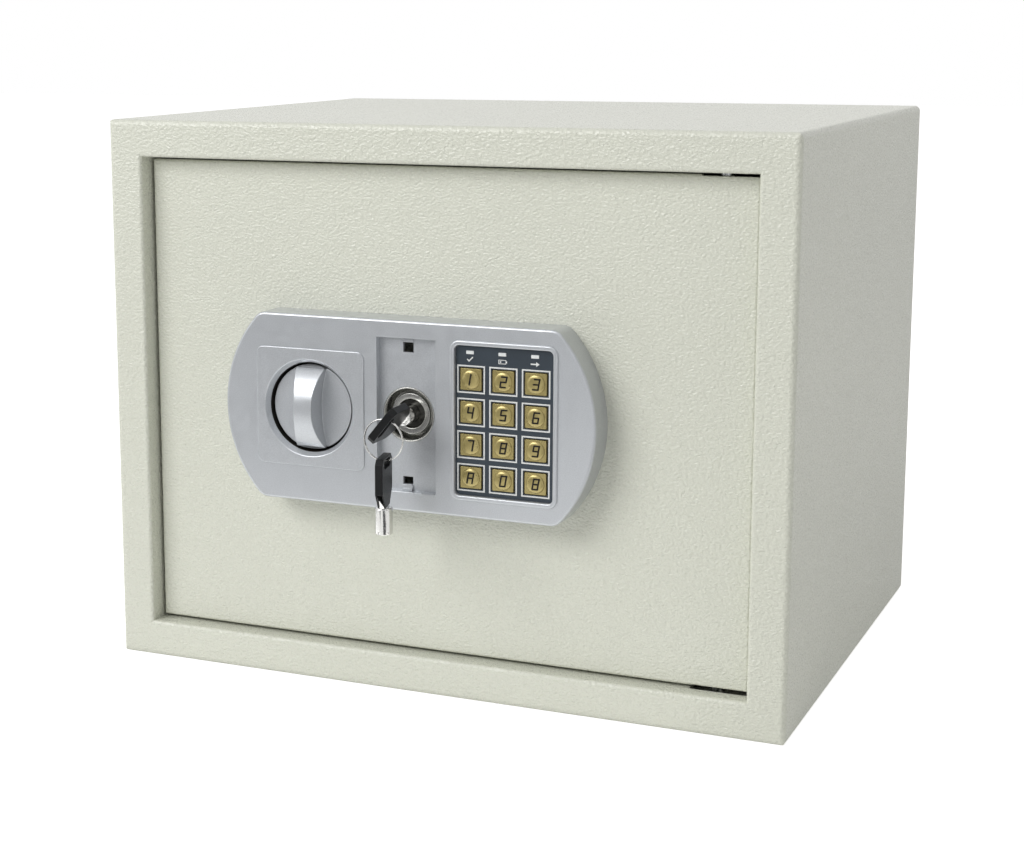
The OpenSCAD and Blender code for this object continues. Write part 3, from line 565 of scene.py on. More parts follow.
def panel_outline(half_span=33.35, end_r=71.0, half_h=50.1, corner_r=8.0):
    """Long oval with round ends, straight top and bottom, and round corners."""
    rise = half_h - corner_r
    run = math.sqrt((end_r - corner_r) ** 2 - rise ** 2)
    turn = math.degrees(math.atan2(rise, run))
    corner = arc(half_span + run, rise, corner_r, turn, 90, 8)[1:]
    half = [(x, -z) for x, z in corner[::-1]] + arc(half_span, 0, end_r, -turn, turn, 44) + corner
    return [(PANEL_X + side * x, OUTLINE_Z + side * z) for side in (1, -1) for x, z in half]


def grown(area, by):
    """The left, right, low and high side of an area, moved outwards."""
    left, right, low, high = area
    return left - by, right + by, low - by, high + by


def slab(name, area, y0, y1):
    """A block over an area, from y0 back to y1."""
    left, right, low, high = area
    return block(name, (left, y0, low), (right, y1, high))


def within(middle, area):
    """Whether a point lies over an area or on its edge."""
    left, right, low, high = grown(area, 0.1)
    return left < middle.x < right and low < middle.z < high


def control_panel():
    """Hollow moulding with the knob's cup, the lock's recess and the keypad's well; the cup's deep
    faces are painted black as shade.
    """
    panel = thick("control_panel", panel_outline(), PANEL_Y, DOOR_Y)
    round_off(panel, lambda middle, run: middle.y < PANEL_Y + 0.01, 1.5, 5)
    choose(panel, "FACE", lambda centre, normal: centre.y > DOOR_Y - 0.01)
    bpy.ops.mesh.inset(thickness=2.5 * MM)
    bpy.ops.mesh.extrude_region_move(
        TRANSFORM_OT_translate={"value": (0.0, (PANEL_Y + 2.5 - DOOR_Y) * MM, 0.0)})
    knob_field = thick("knob_field", soft_rectangle(-96.1, -33.4, 120.1, 183.1, 4.0),
                       FIELD_Y, PANEL_Y + 1)
    round_off(knob_field, lambda middle, run: middle.y < FIELD_Y + 0.01, 0.45, 3)
    bead = thick("keypad_bead", soft_rectangle(*grown(WELL, 2.6), 5.2), BEAD_Y, PANEL_Y + 1)
    round_off(bead, lambda middle, run: middle.y < BEAD_Y + 0.01, 0.88, 5)
    walls = [
        knob_field, bead,
        bar("cup_wall", KNOB_X, PANEL_Z, 28, PANEL_Y + 1, 3),
        bar("lock_wall", LOCK_X, PANEL_Z, 16, PANEL_Y + 1, DOOR_Y - 1),
        slab("recess_wall", grown(RECESS, 1.6), PANEL_Y + 1, RECESS_Y + 2),
        slab("well_wall", grown(WELL, 1.6), PANEL_Y + 1, -4),
    ]
    walls += [bar("boss", x, z, 3.5, PANEL_Y + 1, DOOR_Y, 24) for x, z in PANEL_SCREWS]
    combine(panel, walls, "UNION")
    mouth = [(0, FIELD_Y - 1), (26.7, FIELD_Y - 1), (26.5, FIELD_Y), (26.1, FIELD_Y + 0.12),
             (25.8, FIELD_Y + 0.45), (24.6, FIELD_Y + 2.2), (24.05, FIELD_Y + CUP_DEPTH),
             (23.85, FIELD_Y + 3.6), (23.85, 1), (0, 1)]
    well = thick("well_cut", soft_rectangle(*WELL, 2.6), PANEL_Y - 2, FILM_Y + 0.5)
    cuts = [
        lathe("cup_cut", KNOB_X, PANEL_Z, mouth, 96), well,
        bar("spindle_cut", KNOB_X, PANEL_Z, 11, 0, DOOR_Y + 1),
        slab("recess_cut", RECESS, PANEL_Y - 1, RECESS_Y),
        bar("lock_cut", LOCK_X, PANEL_Z, COLLAR_R + 0.1, RECESS_Y - 1, DOOR_Y + 1, 96),
        slab("upper_catch_cut", (*UPPER_CATCH, 184.1, 189.3), RECESS_Y - 1, RECESS_Y + 3),
        slab("lower_catch_cut", (*LOWER_CATCH, 114.6, 118.7), RECESS_Y - 1, RECESS_Y + 3),
    ]
    cuts += [bar("screw_cut", x, z, 1.5, 0, DOOR_Y + 1, 16) for x, z in PANEL_SCREWS]
    combine(panel, cuts + openings(PANEL_Y, -3), "DIFFERENCE")
    tidy(panel)
    round_off(panel, lambda middle, run: abs(run.y) < 0.02 and middle.y < PANEL_Y - 0.5
              and within(middle, WELL), 0.85, 5)
    round_off(panel, lambda middle, run: abs(run.y) < 0.02 and abs(middle.y - PANEL_Y) < 0.02
              and within(middle, RECESS), 0.3, 2)
    smooth_shaded(panel, 35)
    catches = join(
        slab("cover_catches", (*UPPER_CATCH, 189.5, 191.3), RECESS_Y - 0.9, RECESS_Y + 0.5),
        slab("lower_catch", (*LOWER_CATCH, 111.4, 114.4), RECESS_Y - 1.1, RECESS_Y + 0.5),
        slab("lower_catch_lip", (*LOWER_CATCH, 111.4, 112.6), RECESS_Y - 1.7, RECESS_Y))
    settle(panel, "door", "silver_moulding", "panel_moulding")
    # The cup's deep faces take a black finish: painted shade that darkens the gap round the knob.
    panel.data.materials.append(finish("black_print"))
    for face in panel.data.polygons:
        place = in_mm(face.center)
        if (place.y > FIELD_Y + CUP_DEPTH
                and math.hypot(place.x - KNOB_X, place.z - PANEL_Z) < CUP_R):
            face.material_index = 1
    settle(soften(catches, 0.2), "door", "silver_moulding")


def cuts_at(xs, zs):
    """Planes to cut a face by, across X and across Z: their places and directions."""
    return [(x, 0, (1.0, 0.0, 0.0)) for x in xs] + [(0, z, (0.0, 0.0, 1.0)) for z in zs]


DISC_CUTS = cuts_at((-15, -10, 10, 15), (-19, -13, -6, 0, 6, 13, 19))
FIGURE_CUTS = cuts_at((-1.2, -0.6, 0.0, 0.6, 1.2, 1.6),
                      (-2.6, -1.9, -1.2, -0.5, 0.5, 1.2, 1.9, 2.6))


def knob_grip():
    """Round disc with a waisted grip across it; cuts keep the disc's shading even."""
    disc_y, r, rise, end_half, waist = PANEL_Y + 4, 22.75, 12.5, 9.0, 5.2
    top = disc_y - rise - 1
    knob = lathe("knob_grip", KNOB_X, PANEL_Z,
                 [(0, top), (r, top), (r, disc_y + 3.5), (9, disc_y + 3.5), (9, 8.5), (0, 8.5)],
                 128)
    side_r = (r * r + (end_half - waist) ** 2) / (2 * (end_half - waist))
    cheeks = [bar("cheek", KNOB_X + side * (waist + side_r), PANEL_Z, side_r, top - 1, disc_y, 256)
              for side in (-1, 1)]
    combine(knob, cheeks, "DIFFERENCE")
    arch_rise = rise - 0.15
    arch_r = (r * r + arch_rise ** 2) / (2 * arch_rise)
    outside = block("outside", (KNOB_X - 30, top - 2, PANEL_Z - 30),
                    (KNOB_X + 30, disc_y - 0.1, PANEL_Z + 30))
    arch = fresh(bpy.ops.mesh.primitive_cylinder_add, "arch", vertices=256, radius=arch_r * MM,
                 depth=0.08, location=at(KNOB_X, disc_y - rise + arch_r, PANEL_Z),
                 rotation=(0.0, math.pi / 2, 0.0))
    combine(outside, [arch], "DIFFERENCE")
    combine(knob, [outside], "DIFFERENCE")
    combine(knob, [bar("bore", KNOB_X, PANEL_Z, 5.01, -1.5, 9, 48)], "DIFFERENCE")
    tidy(knob, 0.1)
    soften(knob, 0.5, 3, 30)
    for x, z, across in DISC_CUTS:
        choose(knob, "FACE",
               lambda centre, normal: normal.y < -0.98 and abs(centre.y - disc_y) < 0.1)
        bpy.ops.mesh.bisect(plane_co=at(KNOB_X + x, 0, PANEL_Z + z), plane_no=across)
    smooth_shaded(knob, 40)
    settle(knob, "knob_body", "silver_moulding", "knob")


def lock_cup():
    """Chromed cup and face ring of the key lock, with the core inside in near-black steel, painted
    shade for its deep socket.
    """
    y0, c = RECESS_Y - 0.3, COLLAR_R
    face = -1.0
    cup = lathe("lock_barrel", LOCK_X, PANEL_Z,
                [(c, RECESS_Y + 8), (c, y0 + 0.3), (c - 0.12, y0 + 0.08), (c - 0.35, y0),
                 (c - 0.62, y0 + 0.1), (c - 0.8, y0 + 0.35), (c - 1.5, y0 + 3.0),
                 (c - 2.3, y0 + 5.6), (c - 2.5, y0 + 6.6), (10.9, y0 + 6.9), (10.75, y0 + 6.4),
                 (10.75, face + 0.35), (10.6, face + 0.08), (10.35, face), (8.1, face + 0.05),
                 (7.75, face + 0.3), (7.5, face + 0.8), (7.5, 31), (9.5, 31), (9.5, RECESS_Y + 8)],
                128)
    smooth_shaded(cup, 50)
    settle(cup, "door", "chrome_plate", "lock_housing", look="dark_chrome")
    plug = lathe("lock_core", LOCK_X, PANEL_Z,
                 [(4.75, 0.2), (7.2, 0.2), (7.42, 0.42), (7.42, 31), (4.5, 31), (4.5, 36),
                  (0, 36), (0, 8), (2.7, 8), (2.85, 0.4), (2.85, 4.2), (4.75, 4.2)], 96)
    smooth_shaded(plug, 40)
    # The core's near-black steel is painted shade, standing in for the dark of the deep socket.
    settle(plug, "lock_body", "chrome_plate", "lock_plug", look="blackened_steel")


# ---- Keypad ----

SEGMENTS = {"a": ((0, 2), (1, 2)), "b": ((1, 2), (1, 1)), "c": ((1, 1), (1, 0)),
            "d": ((0, 0), (1, 0)), "e": ((0, 1), (0, 0)), "f": ((0, 2), (0, 1)),
            "g": ((0, 1), (1, 1))}
FIGURES = {"1": "bc", "2": "abged", "3": "abgcd", "4": "fgbc", "5": "afgcd", "6": "afgcde",
           "7": "abc", "8": "abcdefg", "9": "abcfgd", "a": "abcefg", "0": "abcdef",
           "b": "abcdefg"}
FIRST_COLUMN_SHIFT, OTHER_COLUMN_SHIFT, ONE_SHIFT = 0.2, 0.6, 1.6


def oblong(left, right, low, high):
    return [(left, low), (right, low), (right, high), (left, high)]


# Outlines of the tick, the battery and the arrow, round a point under each lamp
SIGN_Z = 183.0
SIGNS = (
    [[(-1.7, 0.1), (-0.5, -1.1), (1.8, 1.3), (1.4, 1.7), (-0.5, -0.2), (-1.3, 0.6)]],
    [oblong(2.1, 2.6, -0.5, 0.5), oblong(-2.1, 2.1, -1.1, -0.75), oblong(-2.1, 2.1, 0.75, 1.1),
     oblong(-2.1, -1.75, -0.75, 0.75), oblong(1.75, 2.1, -0.75, 0.75),
     oblong(-1.4, -0.6, -0.4, 0.4)],
    [oblong(-2.3, 0.6, -0.35, 0.35), [(0.6, -1.25), (2.4, 0), (0.6, 1.25)]],
)


def keypad_film():
    """Dark film with a white outline round each key and small signs under the lamps."""
    film = thick("keypad_film", soft_rectangle(*grown(WELL, -0.1), 2.5), FILM_Y, FILM_Y + 0.5)
    combine(film, openings(FILM_Y - 1, FILM_Y + 1, 0.05), "DIFFERENCE")
    tidy(film)
    soften(film, 0.06, 1)
    settle(film, "door", "keypad_film", "keypad_overlay")
    y0, y1 = FILM_Y - 0.05, FILM_Y
    centre = at(KEY_COLUMNS[0], y0, KEY_ROWS[3])
    outline = fresh(bpy.ops.mesh.primitive_plane_add, "key_outlines", size=1.0,
                    location=centre, rotation=(math.pi / 2, 0.0, 0.0))
    choose(outline, "FACE")
    bpy.ops.transform.resize(value=(15.2 * MM, 1.0, 14.4 * MM), center_override=centre)
    bpy.ops.mesh.inset(thickness=0.74 * MM)
    bpy.ops.mesh.delete(type="FACE")
    pulled(outline, (0.0, 0.05 * MM, 0.0))
    for direction, count in (((PITCH_X * MM, 0, 0), 3), ((0, 0, PITCH_Z * MM), 4)):
        apply_modifier(outline, "ARRAY", count=count, use_relative_offset=False,
                       use_constant_offset=True, constant_offset_displace=direction)
    settle(outline, "door", "keypad_film", look="white_print")
    signs = [thick("lamp_signs", [(x + dx, SIGN_Z + dz) for dx, dz in outline], y0, y1)
             for x, outlines in zip(LAMPS, SIGNS) for outline in outlines]
    settle(join(*signs), "door", "keypad_film", look="white_print")


def lamp_lenses():
    """Three milky lamp windows with soft corners."""
    across, up = (half - 0.02 for half in LAMP_HALF)
    lens = join(*[thick("lamp_windows", soft_rectangle(x - across, x + across, LAMP_Z - up,
                                                       LAMP_Z + up, 0.35, 3),
                        FILM_Y - 0.15, FILM_Y + 2.4) for x in LAMPS])
    soften(lens, 0.12, 2, 50)
    settle(lens, "door", "lamp_lens", "indicator_lenses")


def key_cap(x, z):
    """One key: a flat tile with a crowned boss, and a flange behind the film."""
    top = FILM_Y - 0.3
    cap = block("key_cap", (x - 5.75, top, z - 5.5), (x + 5.75, FILM_Y + 3.1, z + 5.5))
    round_off(cap, lambda middle, run: abs(run.y) > 0.9, 0.5, 3)
    round_off(cap, lambda middle, run: middle.y < FILM_Y, 0.22, 2)
    crown = [(0, -0.5), (5.0, -0.5), (4.95, 0), (4.85, 0.25), (4.6, 0.55), (4.15, 0.8),
             (3.3, 1.0), (2.2, 1.12), (1.0, 1.18), (0, 1.2)]
    boss = lathe("boss", x, z, [(r, top - rise) for r, rise in crown], 64)
    flange = block("flange", (x - 7.2, FILM_Y + 2.8, z - 6.8), (x + 7.2, FILM_Y + 3.5, z + 6.8))
    combine(cap, [boss, flange], "UNION")
    return smooth_shaded(cap, 30)


def figure_on(cap, name, x, z):
    """A slanted seven-bar figure laid on the key's boss, off centre as printed."""
    x += FIRST_COLUMN_SHIFT if x < KEYS_X - 1 else OTHER_COLUMN_SHIFT
    x -= ONE_SHIFT if name == "1" else 0.0
    width, height, stroke, slant = 2.8, 2.65, 0.43, 0.15
    bars = []
    for segment in FIGURES[name]:
        (x0, z0), (x1, z1) = SEGMENTS[segment]
        ends = []
        for sx, sz in ((x0, z0), (x1, z1)):
            up = (sz - 1) * height
            ends.append(Vector(((sx - 0.5) * width + up * slant * 1.2, up)))
        run = (ends[1] - ends[0]).normalized()
        side = Vector((-run.y, run.x)) * stroke
        start, end = ends[0] - run * stroke * 0.9, ends[1] + run * stroke * 0.9
        corners = [start + side * 0.5, start - side * 0.5, start + run * stroke * 0.5 - side,
                   end - run * stroke * 0.5 - side, end - side * 0.5, end + side * 0.5,
                   end - run * stroke * 0.5 + side, start + run * stroke * 0.5 + side]
        piece = wire_loop("figure_" + name, [at(x + c.x, FILM_Y - 2.0, z + c.y) for c in corners],
                          fill="NGON")
        choose(piece, "FACE")
        for dx, dz, across in FIGURE_CUTS:
            bpy.ops.mesh.bisect(plane_co=at(x + dx, 0, z + dz), plane_no=across)
            bpy.ops.mesh.select_all(action="SELECT")
        bars.append(only(piece))
    figure = named(join(*bars), "figure_" + name)
    apply_modifier(figure, "SHRINKWRAP", target=cap, wrap_method="PROJECT", use_project_x=False,
                   use_project_y=True, use_project_z=False, use_positive_direction=True,
                   use_negative_direction=True, offset=0.00009)
    choose(figure, "FACE")
    bpy.ops.mesh.normals_make_consistent(inside=False)
    only(figure)
    return smooth_shaded(figure, 60)


def keypad_keys():
    """Twelve gold keys, each with its dark figure."""
    first = key_cap(KEY_COLUMNS[0], KEY_ROWS[0])
    names = "123456789a0b"
    caps = [first] + [copy_of(first, "key_cap_" + name) for name in names[1:]]
    for i, (name, cap) in enumerate(zip(names, caps)):
        x, z = KEY_COLUMNS[i % 3], KEY_ROWS[i // 3]
        shift = at(x, 0, z) - at(KEY_COLUMNS[0], 0, KEY_ROWS[0])
        moved(named(cap, "key_cap_" + name), Matrix.Translation(shift))
        figure = figure_on(cap, name, x, z)
        settle(cap, "button_%s_body" % name, "gold_keys", "button_" + name)
        settle(figure, "button_%s_body" % name, "gold_keys", look="black_print")


# ---- Keys on their ring ----

BOW_W, BOW_L, BOW_T, BARREL_R, BARREL_L, NECK_R = 21.8, 26.0, 4.0, 4.6, 13.2, 1.2
BOW_CUT = 2.5
BOW_END_Y = -38.5
SLOT_IN = 3.6
KEY_LEAN, SPARE_TURN = 39.0, 12.0
RING_Y, RING_Z, RING_R = BOW_END_Y + SLOT_IN, PANEL_Z - 7.3, 10.55
WIRE_R, WIRE_SIDES, RING_TURN, RING_PITCH = 0.32, 14, 705, 0.66
SPARE_TOP_Z = RING_Z - RING_R + 2.3


def in_key(x, along, side):
    """A point of a key laid along Y from its grip's outer end, in metres."""
    return Vector((x * MM, along * MM, side * MM))


def key_slab(name, outline, half):
    """A flat piece of a key, as thick as twice `half` in millimetres."""
    loop = wire_loop(name, [in_key(x, y, -half) for x, y in outline], fill="NGON")
    return pulled(loop, (0.0, 0.0, 2 * half * MM))


def key_grip(name):
    """Black moulded grip with a slot for the ring and a slit at the neck."""
    half = BOW_W / 2
    outline = [(-half, BOW_CUT), (-half + BOW_CUT, 0), (half - BOW_CUT, 0), (half, BOW_CUT),
               (half, BOW_L - 8), (5, BOW_L), (-5, BOW_L), (-half, BOW_L - 8)]
    grip = key_slab(name, outline, BOW_T / 2)
    hole = key_slab("slot", arc(4.35, SLOT_IN, 2.25, -90, 90, 12)
                    + arc(-4.35, SLOT_IN, 2.25, 90, 270, 12), 4)
    bore = fresh(bpy.ops.mesh.primitive_cylinder_add, "bore", vertices=24,
                 radius=(NECK_R + 0.02) * MM, depth=14 * MM, location=in_key(0, BOW_L - 5, 0),
                 rotation=(math.pi / 2, 0.0, 0.0))
    slit = brick("slit", in_key(0, BOW_L - 3, 0), in_key(BOW_W + 2, 9, 2 * NECK_R + 0.1))
    combine(grip, [hole, bore, slit], "DIFFERENCE")
    tidy(grip)
    return soften(grip, 0.35, 3, 30)


def key_shaft(name):
    """Bright neck, collar and hollow barrel with a tooth ring at its end."""
    y1 = BOW_L + 1 + BARREL_L
    r = BARREL_R
    section = [(0, BOW_L - 11.8), (NECK_R, BOW_L - 11.8), (NECK_R, BOW_L + 0.2),
               (r - 1.0, BOW_L + 0.2), (r - 0.35, BOW_L + 0.45), (r, BOW_L + 1.1),
               (r, y1 - 0.35), (r - 0.3, y1), (r - 1.2, y1), (r - 1.5, y1 - 0.3),
               (r - 1.5, BOW_L + 3), (0, BOW_L + 3)]
    shaft = wire_loop(name, [in_key(x, y, 0) for x, y in section])
    choose(shaft, "EDGE")
    bpy.ops.mesh.spin(steps=72, angle=math.tau, center=(0.0, 0.0, 0.0), axis=(0.0, 1.0, 0.0))
    outwards(shaft)
    teeth = [moved(brick("tooth", in_key(r, y1 - 0.4, 0), in_key(1.6, 2.4, 1.3)),
                   Matrix.Rotation(math.radians(60 * i + 20), 4, "Y")) for i in range(6)]
    combine(shaft, teeth, "DIFFERENCE")
    half = BOW_W / 2 - 3
    tang = key_slab("tang", [(-half, BOW_L - 7.4), (half, BOW_L - 7.4), (4.1, BOW_L + 0.5),
                             (-4.1, BOW_L + 0.5)], NECK_R)
    combine(shaft, [soften(tang, 0.25, 2, 30)], "UNION")
    return smooth_shaded(shaft, 35)


NAP_RISE = 0.0002
NAP_SIZE, NAP_DEPTH = 0.03, 0.0005


def felt_mat():
    """Felt mat cut to the floor of the cabinet, laid loose, with slightly uneven nap."""
    low, high = (Vector(corner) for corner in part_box("floor_mat"))
    size, middle = high - low, (low + high) / 2
    mat = fresh(bpy.ops.mesh.primitive_grid_add, "felt_mat", x_subdivisions=120,
                y_subdivisions=80, size=1.0, location=(0.0, 0.0, 0.0))
    choose(mat, "VERT")
    bpy.ops.transform.resize(value=(size.x, size.y, 1.0))
    bpy.ops.transform.translate(value=(middle.x, middle.y, high.z - NAP_RISE))
    only(mat)
    nap = bpy.data.textures.new("felt_nap", "CLOUDS")
    nap.noise_scale = NAP_SIZE
    apply_modifier(mat, "DISPLACE", texture=nap, strength=NAP_DEPTH, texture_coords="LOCAL",
                   direction="Z", mid_level=0.5)
    apply_modifier(mat, "SOLIDIFY", thickness=size.z - 2 * NAP_RISE, offset=-1.0)
    soften(mat, 0.5, 2, 60)
    settle(mat, "cabinet", "grey_felt", "floor_mat")


def keys_on_ring():
    """The key in the lock, its split ring and the spare key that hangs on it."""
    in_lock = (Matrix.Translation(at(LOCK_X, BOW_END_Y, PANEL_Z))
               @ Matrix.Rotation(math.radians(KEY_LEAN - 90), 4, "Y"))
    hanging = (Matrix.Translation(at(LOCK_X, RING_Y, SPARE_TOP_Z))
               @ Matrix.Rotation(math.radians(SPARE_TURN), 4, "Z")
               @ Matrix.Rotation(math.radians(-90), 4, "X")
               @ Matrix.Rotation(math.radians(90), 4, "Y"))
    grip, shaft = key_grip("lock_key_grip"), key_shaft("lock_key_shaft")
    spare_grip, spare_shaft = copy_of(grip, "spare_key_grip"), copy_of(shaft, "spare_key_shaft")
    for piece, place, body, slot, node in (
            (grip, in_lock, "key_body", "black_plastic", "key_bow"),
            (shaft, in_lock, "key_body", "chrome_plate", "key_blade"),
            (spare_grip, hanging, "spare_key_body", "black_plastic", "spare_key_bow"),
            (spare_shaft, hanging, "spare_key_body", "chrome_plate", "spare_key_blade")):
        settle(moved(piece, place), body, slot, node)
    coil = wire_loop("split_ring", [in_key(x, y, 0) for x, y in
                                    arc(RING_R, 0, WIRE_R, 0, 360, WIRE_SIDES)[:-1]])
    length = RING_PITCH * RING_TURN / 360
    apply_modifier(coil, "SCREW", angle=math.radians(RING_TURN), screw_offset=length * MM,
                   steps=190, render_steps=190, axis="Y", use_merge_vertices=False)
    moved(coil, Matrix.Translation(at(LOCK_X, RING_Y - length / 2, RING_Z))
          @ Matrix.Rotation(math.radians(70), 4, "Y"))
    only(coil)
    bpy.ops.object.mode_set(mode="EDIT")
    bpy.ops.mesh.select_all(action="DESELECT")
    bpy.ops.mesh.select_mode(type="EDGE")
    bpy.ops.mesh.select_non_manifold()
    bpy.ops.mesh.edge_face_add()
    outwards(coil)
    smooth_shaded(coil, 60)
    settle(coil, "ring_body", "chrome_plate", "key_ring")


def dress_frame():
    """Gives every node of the frame the finish of its slot."""
    for part in frame["record"]["subparts"]:
        node = NODES[part["node"]]
        for entry in node.material_slots:
            entry.material = finish(SLOT_FINISHES[part["material_slot"]])


# ---- Studio ----

# Cards out of view: paint, lowest and highest corner
CARDS = {
    "card_floor": ("grey_card", (-1.0, -1.9, 0.004), (-0.15, -0.55, 0.004)),
    "card_left": ("grey_card", (-1.5, -1.9, 0.0), (-0.3, -1.9, 0.75)),
    "card_near": ("dark_card", (0.10, -0.9, 0.004), (0.32, -0.42, 0.004)),
    "card_side": ("dark_card", (0.5, -0.7, 0.004), (0.62, 0.0, 0.004)),
    "card_far_side": ("dark_card", (-0.62, -0.7, 0.004), (-0.5, -0.1, 0.004)),
    "card_right": ("dark_card", (1.2, -1.2, 0.0), (1.2, -0.3, 1.4)),
    "card_behind": ("dark_card", (0.1, -2.6, 0.0), (0.6, -2.6, 2.6)),
    "card_bright": ("bright_card", (-0.4, -0.33, 0.003), (0.14, -0.155, 0.003)),
}
# Lights: share of the key light, own power in watts, place, target and size
LIGHTS = {
    "key_light": (1.0, 0.0, (-1.45, -2.15, 1.8), (0.0, 0.0, 0.12), (2.0, 1.5)),
    "top_light": (0.08, 0.0, (0.2, 0.3, 2.6), (0.0, 0.0, 0.2), (2.0, 1.6)),
    "edge_light": (0.0, 0.9, (1.25, -0.45, 0.3), (0.15, -0.05, 0.05), (0.5, 0.9)),
}
FLOOR_TO_CAMERA, FLOOR_TO_GLOSS = 0.72, 0.3
PHOTO_SHIFT = (0.1029, -0.0522)
WHITE = (1.0, 1.0, 1.0, 1.0)


def math_node(tree, operation, *values):
    """A Math node that takes other nodes' outputs and plain numbers."""
    node = tree.nodes.new("ShaderNodeMath")
    node.operation = operation
    for socket, value in zip(node.inputs, values):
        if isinstance(value, bpy.types.NodeSocket):
            tree.links.new(value, socket)
        else:
            socket.default_value = value
    return node.outputs[0]


def floor_material():
    """Pale floor that keeps the safe's shadow and is white to the camera."""
    floor = Finish("pale_floor", (0.88, 0.88, 0.87), 0.9)
    tree = floor.material.node_tree
    glow = tree.nodes.new("ShaderNodeEmission")
    glow.inputs["Color"].default_value = WHITE
    path = tree.nodes.new("ShaderNodeLightPath").outputs
    mirrored = math_node(tree, "MAXIMUM", path["Is Glossy Ray"], path["Is Transmission Ray"])
    soft = math_node(tree, "MULTIPLY", mirrored, FLOOR_TO_GLOSS)
    level = math_node(tree, "MULTIPLY_ADD", path["Is Camera Ray"], FLOOR_TO_CAMERA, soft)
    tree.links.new(level, glow.inputs["Strength"])
    both = tree.nodes.new("ShaderNodeAddShader")
    tree.links.new(floor.surface.outputs[0], both.inputs[0])
    tree.links.new(glow.outputs[0], both.inputs[1])
    tree.links.new(both.outputs[0], tree.nodes["Material Output"].inputs["Surface"])
    return floor.material


def lit_world(scene, level):
    """White to the camera, to gloss and through glass, and a softer level on the pieces."""
    world = scene.world = bpy.data.worlds.new("studio_air")
    world.use_nodes = True
    tree = world.node_tree
    air = tree.nodes["Background"]
    air.inputs["Color"].default_value = WHITE
    path = tree.nodes.new("ShaderNodeLightPath").outputs
    seen = math_node(tree, "MAXIMUM", path["Is Camera Ray"], path["Is Glossy Ray"])
    seen = math_node(tree, "MAXIMUM", seen, path["Is Transmission Ray"])
    spread = tree.nodes.new("ShaderNodeMapRange")
    spread.inputs["To Min"].default_value = level
    spread.inputs["To Max"].default_value = 1.0
    tree.links.new(seen, spread.inputs["Value"])
    tree.links.new(spread.outputs["Result"], air.inputs["Strength"])


def mirror_card(name, paint, low, high):
    """A card out of view that only gloss sees, for the bright metal to mirror."""
    low, high = Vector(low), Vector(high)
    card = brick(name, (low + high) / 2, [max(side, 0.002) for side in high - low])
    card.visible_camera = False
    card.visible_shadow = False
    card.visible_diffuse = False
    card.data.materials.append(finish(paint))


def area_light(name, power, place, target, size):
    data = bpy.data.lights.new(name, "AREA")
    data.shape = "RECTANGLE"
    data.size, data.size_y = size
    data.energy = power
    lamp = bpy.data.objects.new(name, data)
    bpy.context.scene.collection.objects.link(lamp)
    lamp.location = place
    lamp.rotation_euler = (Vector(target) - Vector(place)).to_track_quat("-Z", "Y").to_euler()


def photo_camera(studio):
    """The camera at the photograph's place, turn, tilt and framing."""
    data = bpy.data.cameras.new("photo_camera")
    data.sensor_width = 36.0
    data.lens = studio.lens
    data.shift_x, data.shift_y = PHOTO_SHIFT
    data.clip_start = 0.05
    camera = bpy.data.objects.new("photo_camera", data)
    bpy.context.scene.collection.objects.link(camera)
    back = Vector((math.sin(studio.turn) * math.cos(studio.tilt),
                   -math.cos(studio.turn) * math.cos(studio.tilt), math.sin(studio.tilt)))
    right = Vector((math.cos(studio.turn), math.sin(studio.turn), 0.0))
    up = back.cross(right)
    lean, rise = math.cos(studio.roll), math.sin(studio.roll)
    right, up = right * lean + up * rise, up * lean - right * rise
    axes = Matrix((right, up, back)).transposed().to_4x4()
    camera.matrix_world = Matrix.Translation(studio.place) @ axes
    return camera


# ---- Operators ----


class SafeStep:
    """A step of the build, which runs its makers one after the other."""
    makers = ()

    def execute(self, context):
        for maker in self.makers:
            maker()
        return {"FINISHED"}


class SAFE_OT_finishes(SafeStep, bpy.types.Operator):
    """Give every piece of the frame its finish"""
    bl_idname = "object.safe_finishes"
    bl_label = "Finishes"
    makers = (dress_frame,)


class SAFE_OT_control_panel(SafeStep, bpy.types.Operator):
    """Build the control panel's moulding"""
    bl_idname = "object.safe_control_panel"
    bl_label = "Control panel"
    makers = (control_panel,)


class SAFE_OT_knob(SafeStep, bpy.types.Operator):
    """Build the grip knob"""
    bl_idname = "object.safe_knob"
    bl_label = "Knob"
    makers = (knob_grip,)


class SAFE_OT_lock(SafeStep, bpy.types.Operator):
    """Build the lock's cup and core"""
    bl_idname = "object.safe_lock"
    bl_label = "Lock"
    makers = (lock_cup,)


class SAFE_OT_keypad(SafeStep, bpy.types.Operator):
    """Build the keypad's film, lamps and keys"""
    bl_idname = "object.safe_keypad"
    bl_label = "Keypad"
    makers = (keypad_film, lamp_lenses, keypad_keys)


class SAFE_OT_keys(SafeStep, bpy.types.Operator):
    """Build the two keys and their split ring"""
    bl_idname = "object.safe_keys"
    bl_label = "Keys"
    makers = (keys_on_ring,)


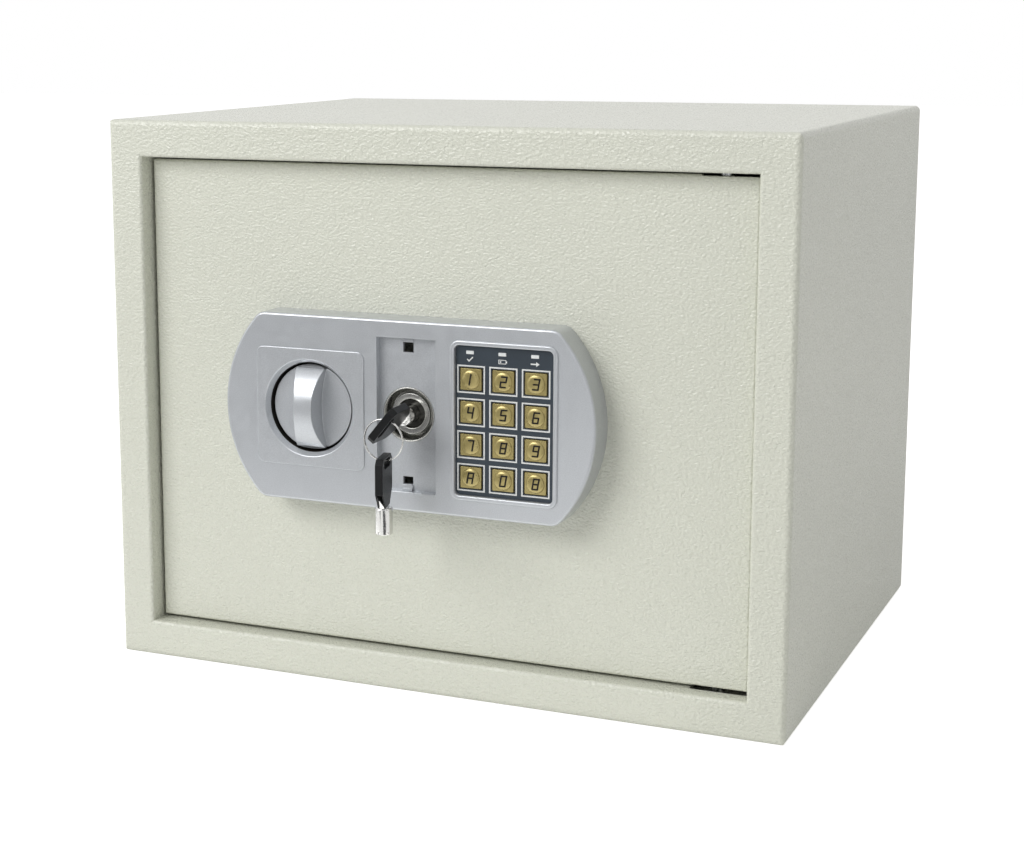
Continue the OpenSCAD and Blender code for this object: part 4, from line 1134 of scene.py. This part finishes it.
class SAFE_OT_mat(SafeStep, bpy.types.Operator):
    """Lay the felt mat in the cabinet"""
    bl_idname = "object.safe_mat"
    bl_label = "Felt mat"
    makers = (felt_mat,)


class SAFE_OT_stage(bpy.types.Operator):
    """Set up the floor, the mirrored cards, the lights and the camera"""
    bl_idname = "object.safe_stage"
    bl_label = "Studio"

    def execute(self, context):
        studio = context.scene.safe_studio
        floor = fresh(bpy.ops.mesh.primitive_plane_add, "studio_floor", size=14.0)
        floor.data.materials.append(floor_material())
        for name, card in CARDS.items():
            mirror_card(name, *card)
        lit_world(context.scene, studio.room_light)
        for name, (share, power, *lamp) in LIGHTS.items():
            area_light(name, studio.key_light * share + power, *lamp)
        context.scene.camera = photo_camera(studio)
        context.scene.view_settings.view_transform = "Standard"
        return {"FINISHED"}


class SAFE_PT_panel(bpy.types.Panel):
    """Lists the steps and the settings of the home safe"""
    bl_idname = "SAFE_PT_panel"
    bl_label = "Home Safe"
    bl_space_type = "VIEW_3D"
    bl_region_type = "UI"
    bl_category = "Home Safe"

    def draw(self, context):
        for settings in (context.scene.safe_paint, context.scene.safe_studio):
            box = self.layout.box()
            for name in settings.__annotations__:
                box.prop(settings, name)
        for step in STEPS:
            self.layout.operator(step.bl_idname)


STEPS = (SAFE_OT_finishes, SAFE_OT_control_panel, SAFE_OT_knob, SAFE_OT_lock, SAFE_OT_keypad,
         SAFE_OT_keys, SAFE_OT_mat, SAFE_OT_stage)
SETTINGS = (SafePaintSettings, SafeStudioSettings)


def register():
    for part in (*SETTINGS, *STEPS, SAFE_PT_panel):
        bpy.utils.register_class(part)
    bpy.types.Scene.safe_paint = bpy.props.PointerProperty(type=SafePaintSettings)
    bpy.types.Scene.safe_studio = bpy.props.PointerProperty(type=SafeStudioSettings)


def unregister():
    del bpy.types.Scene.safe_studio
    del bpy.types.Scene.safe_paint
    for part in (SAFE_PT_panel, *reversed(STEPS), *reversed(SETTINGS)):
        bpy.utils.unregister_class(part)


def main():
    register()
    for step in STEPS:
        group, name = step.bl_idname.split(".")
        getattr(getattr(bpy.ops, group), name)()


if __name__ == "__main__":
    main()
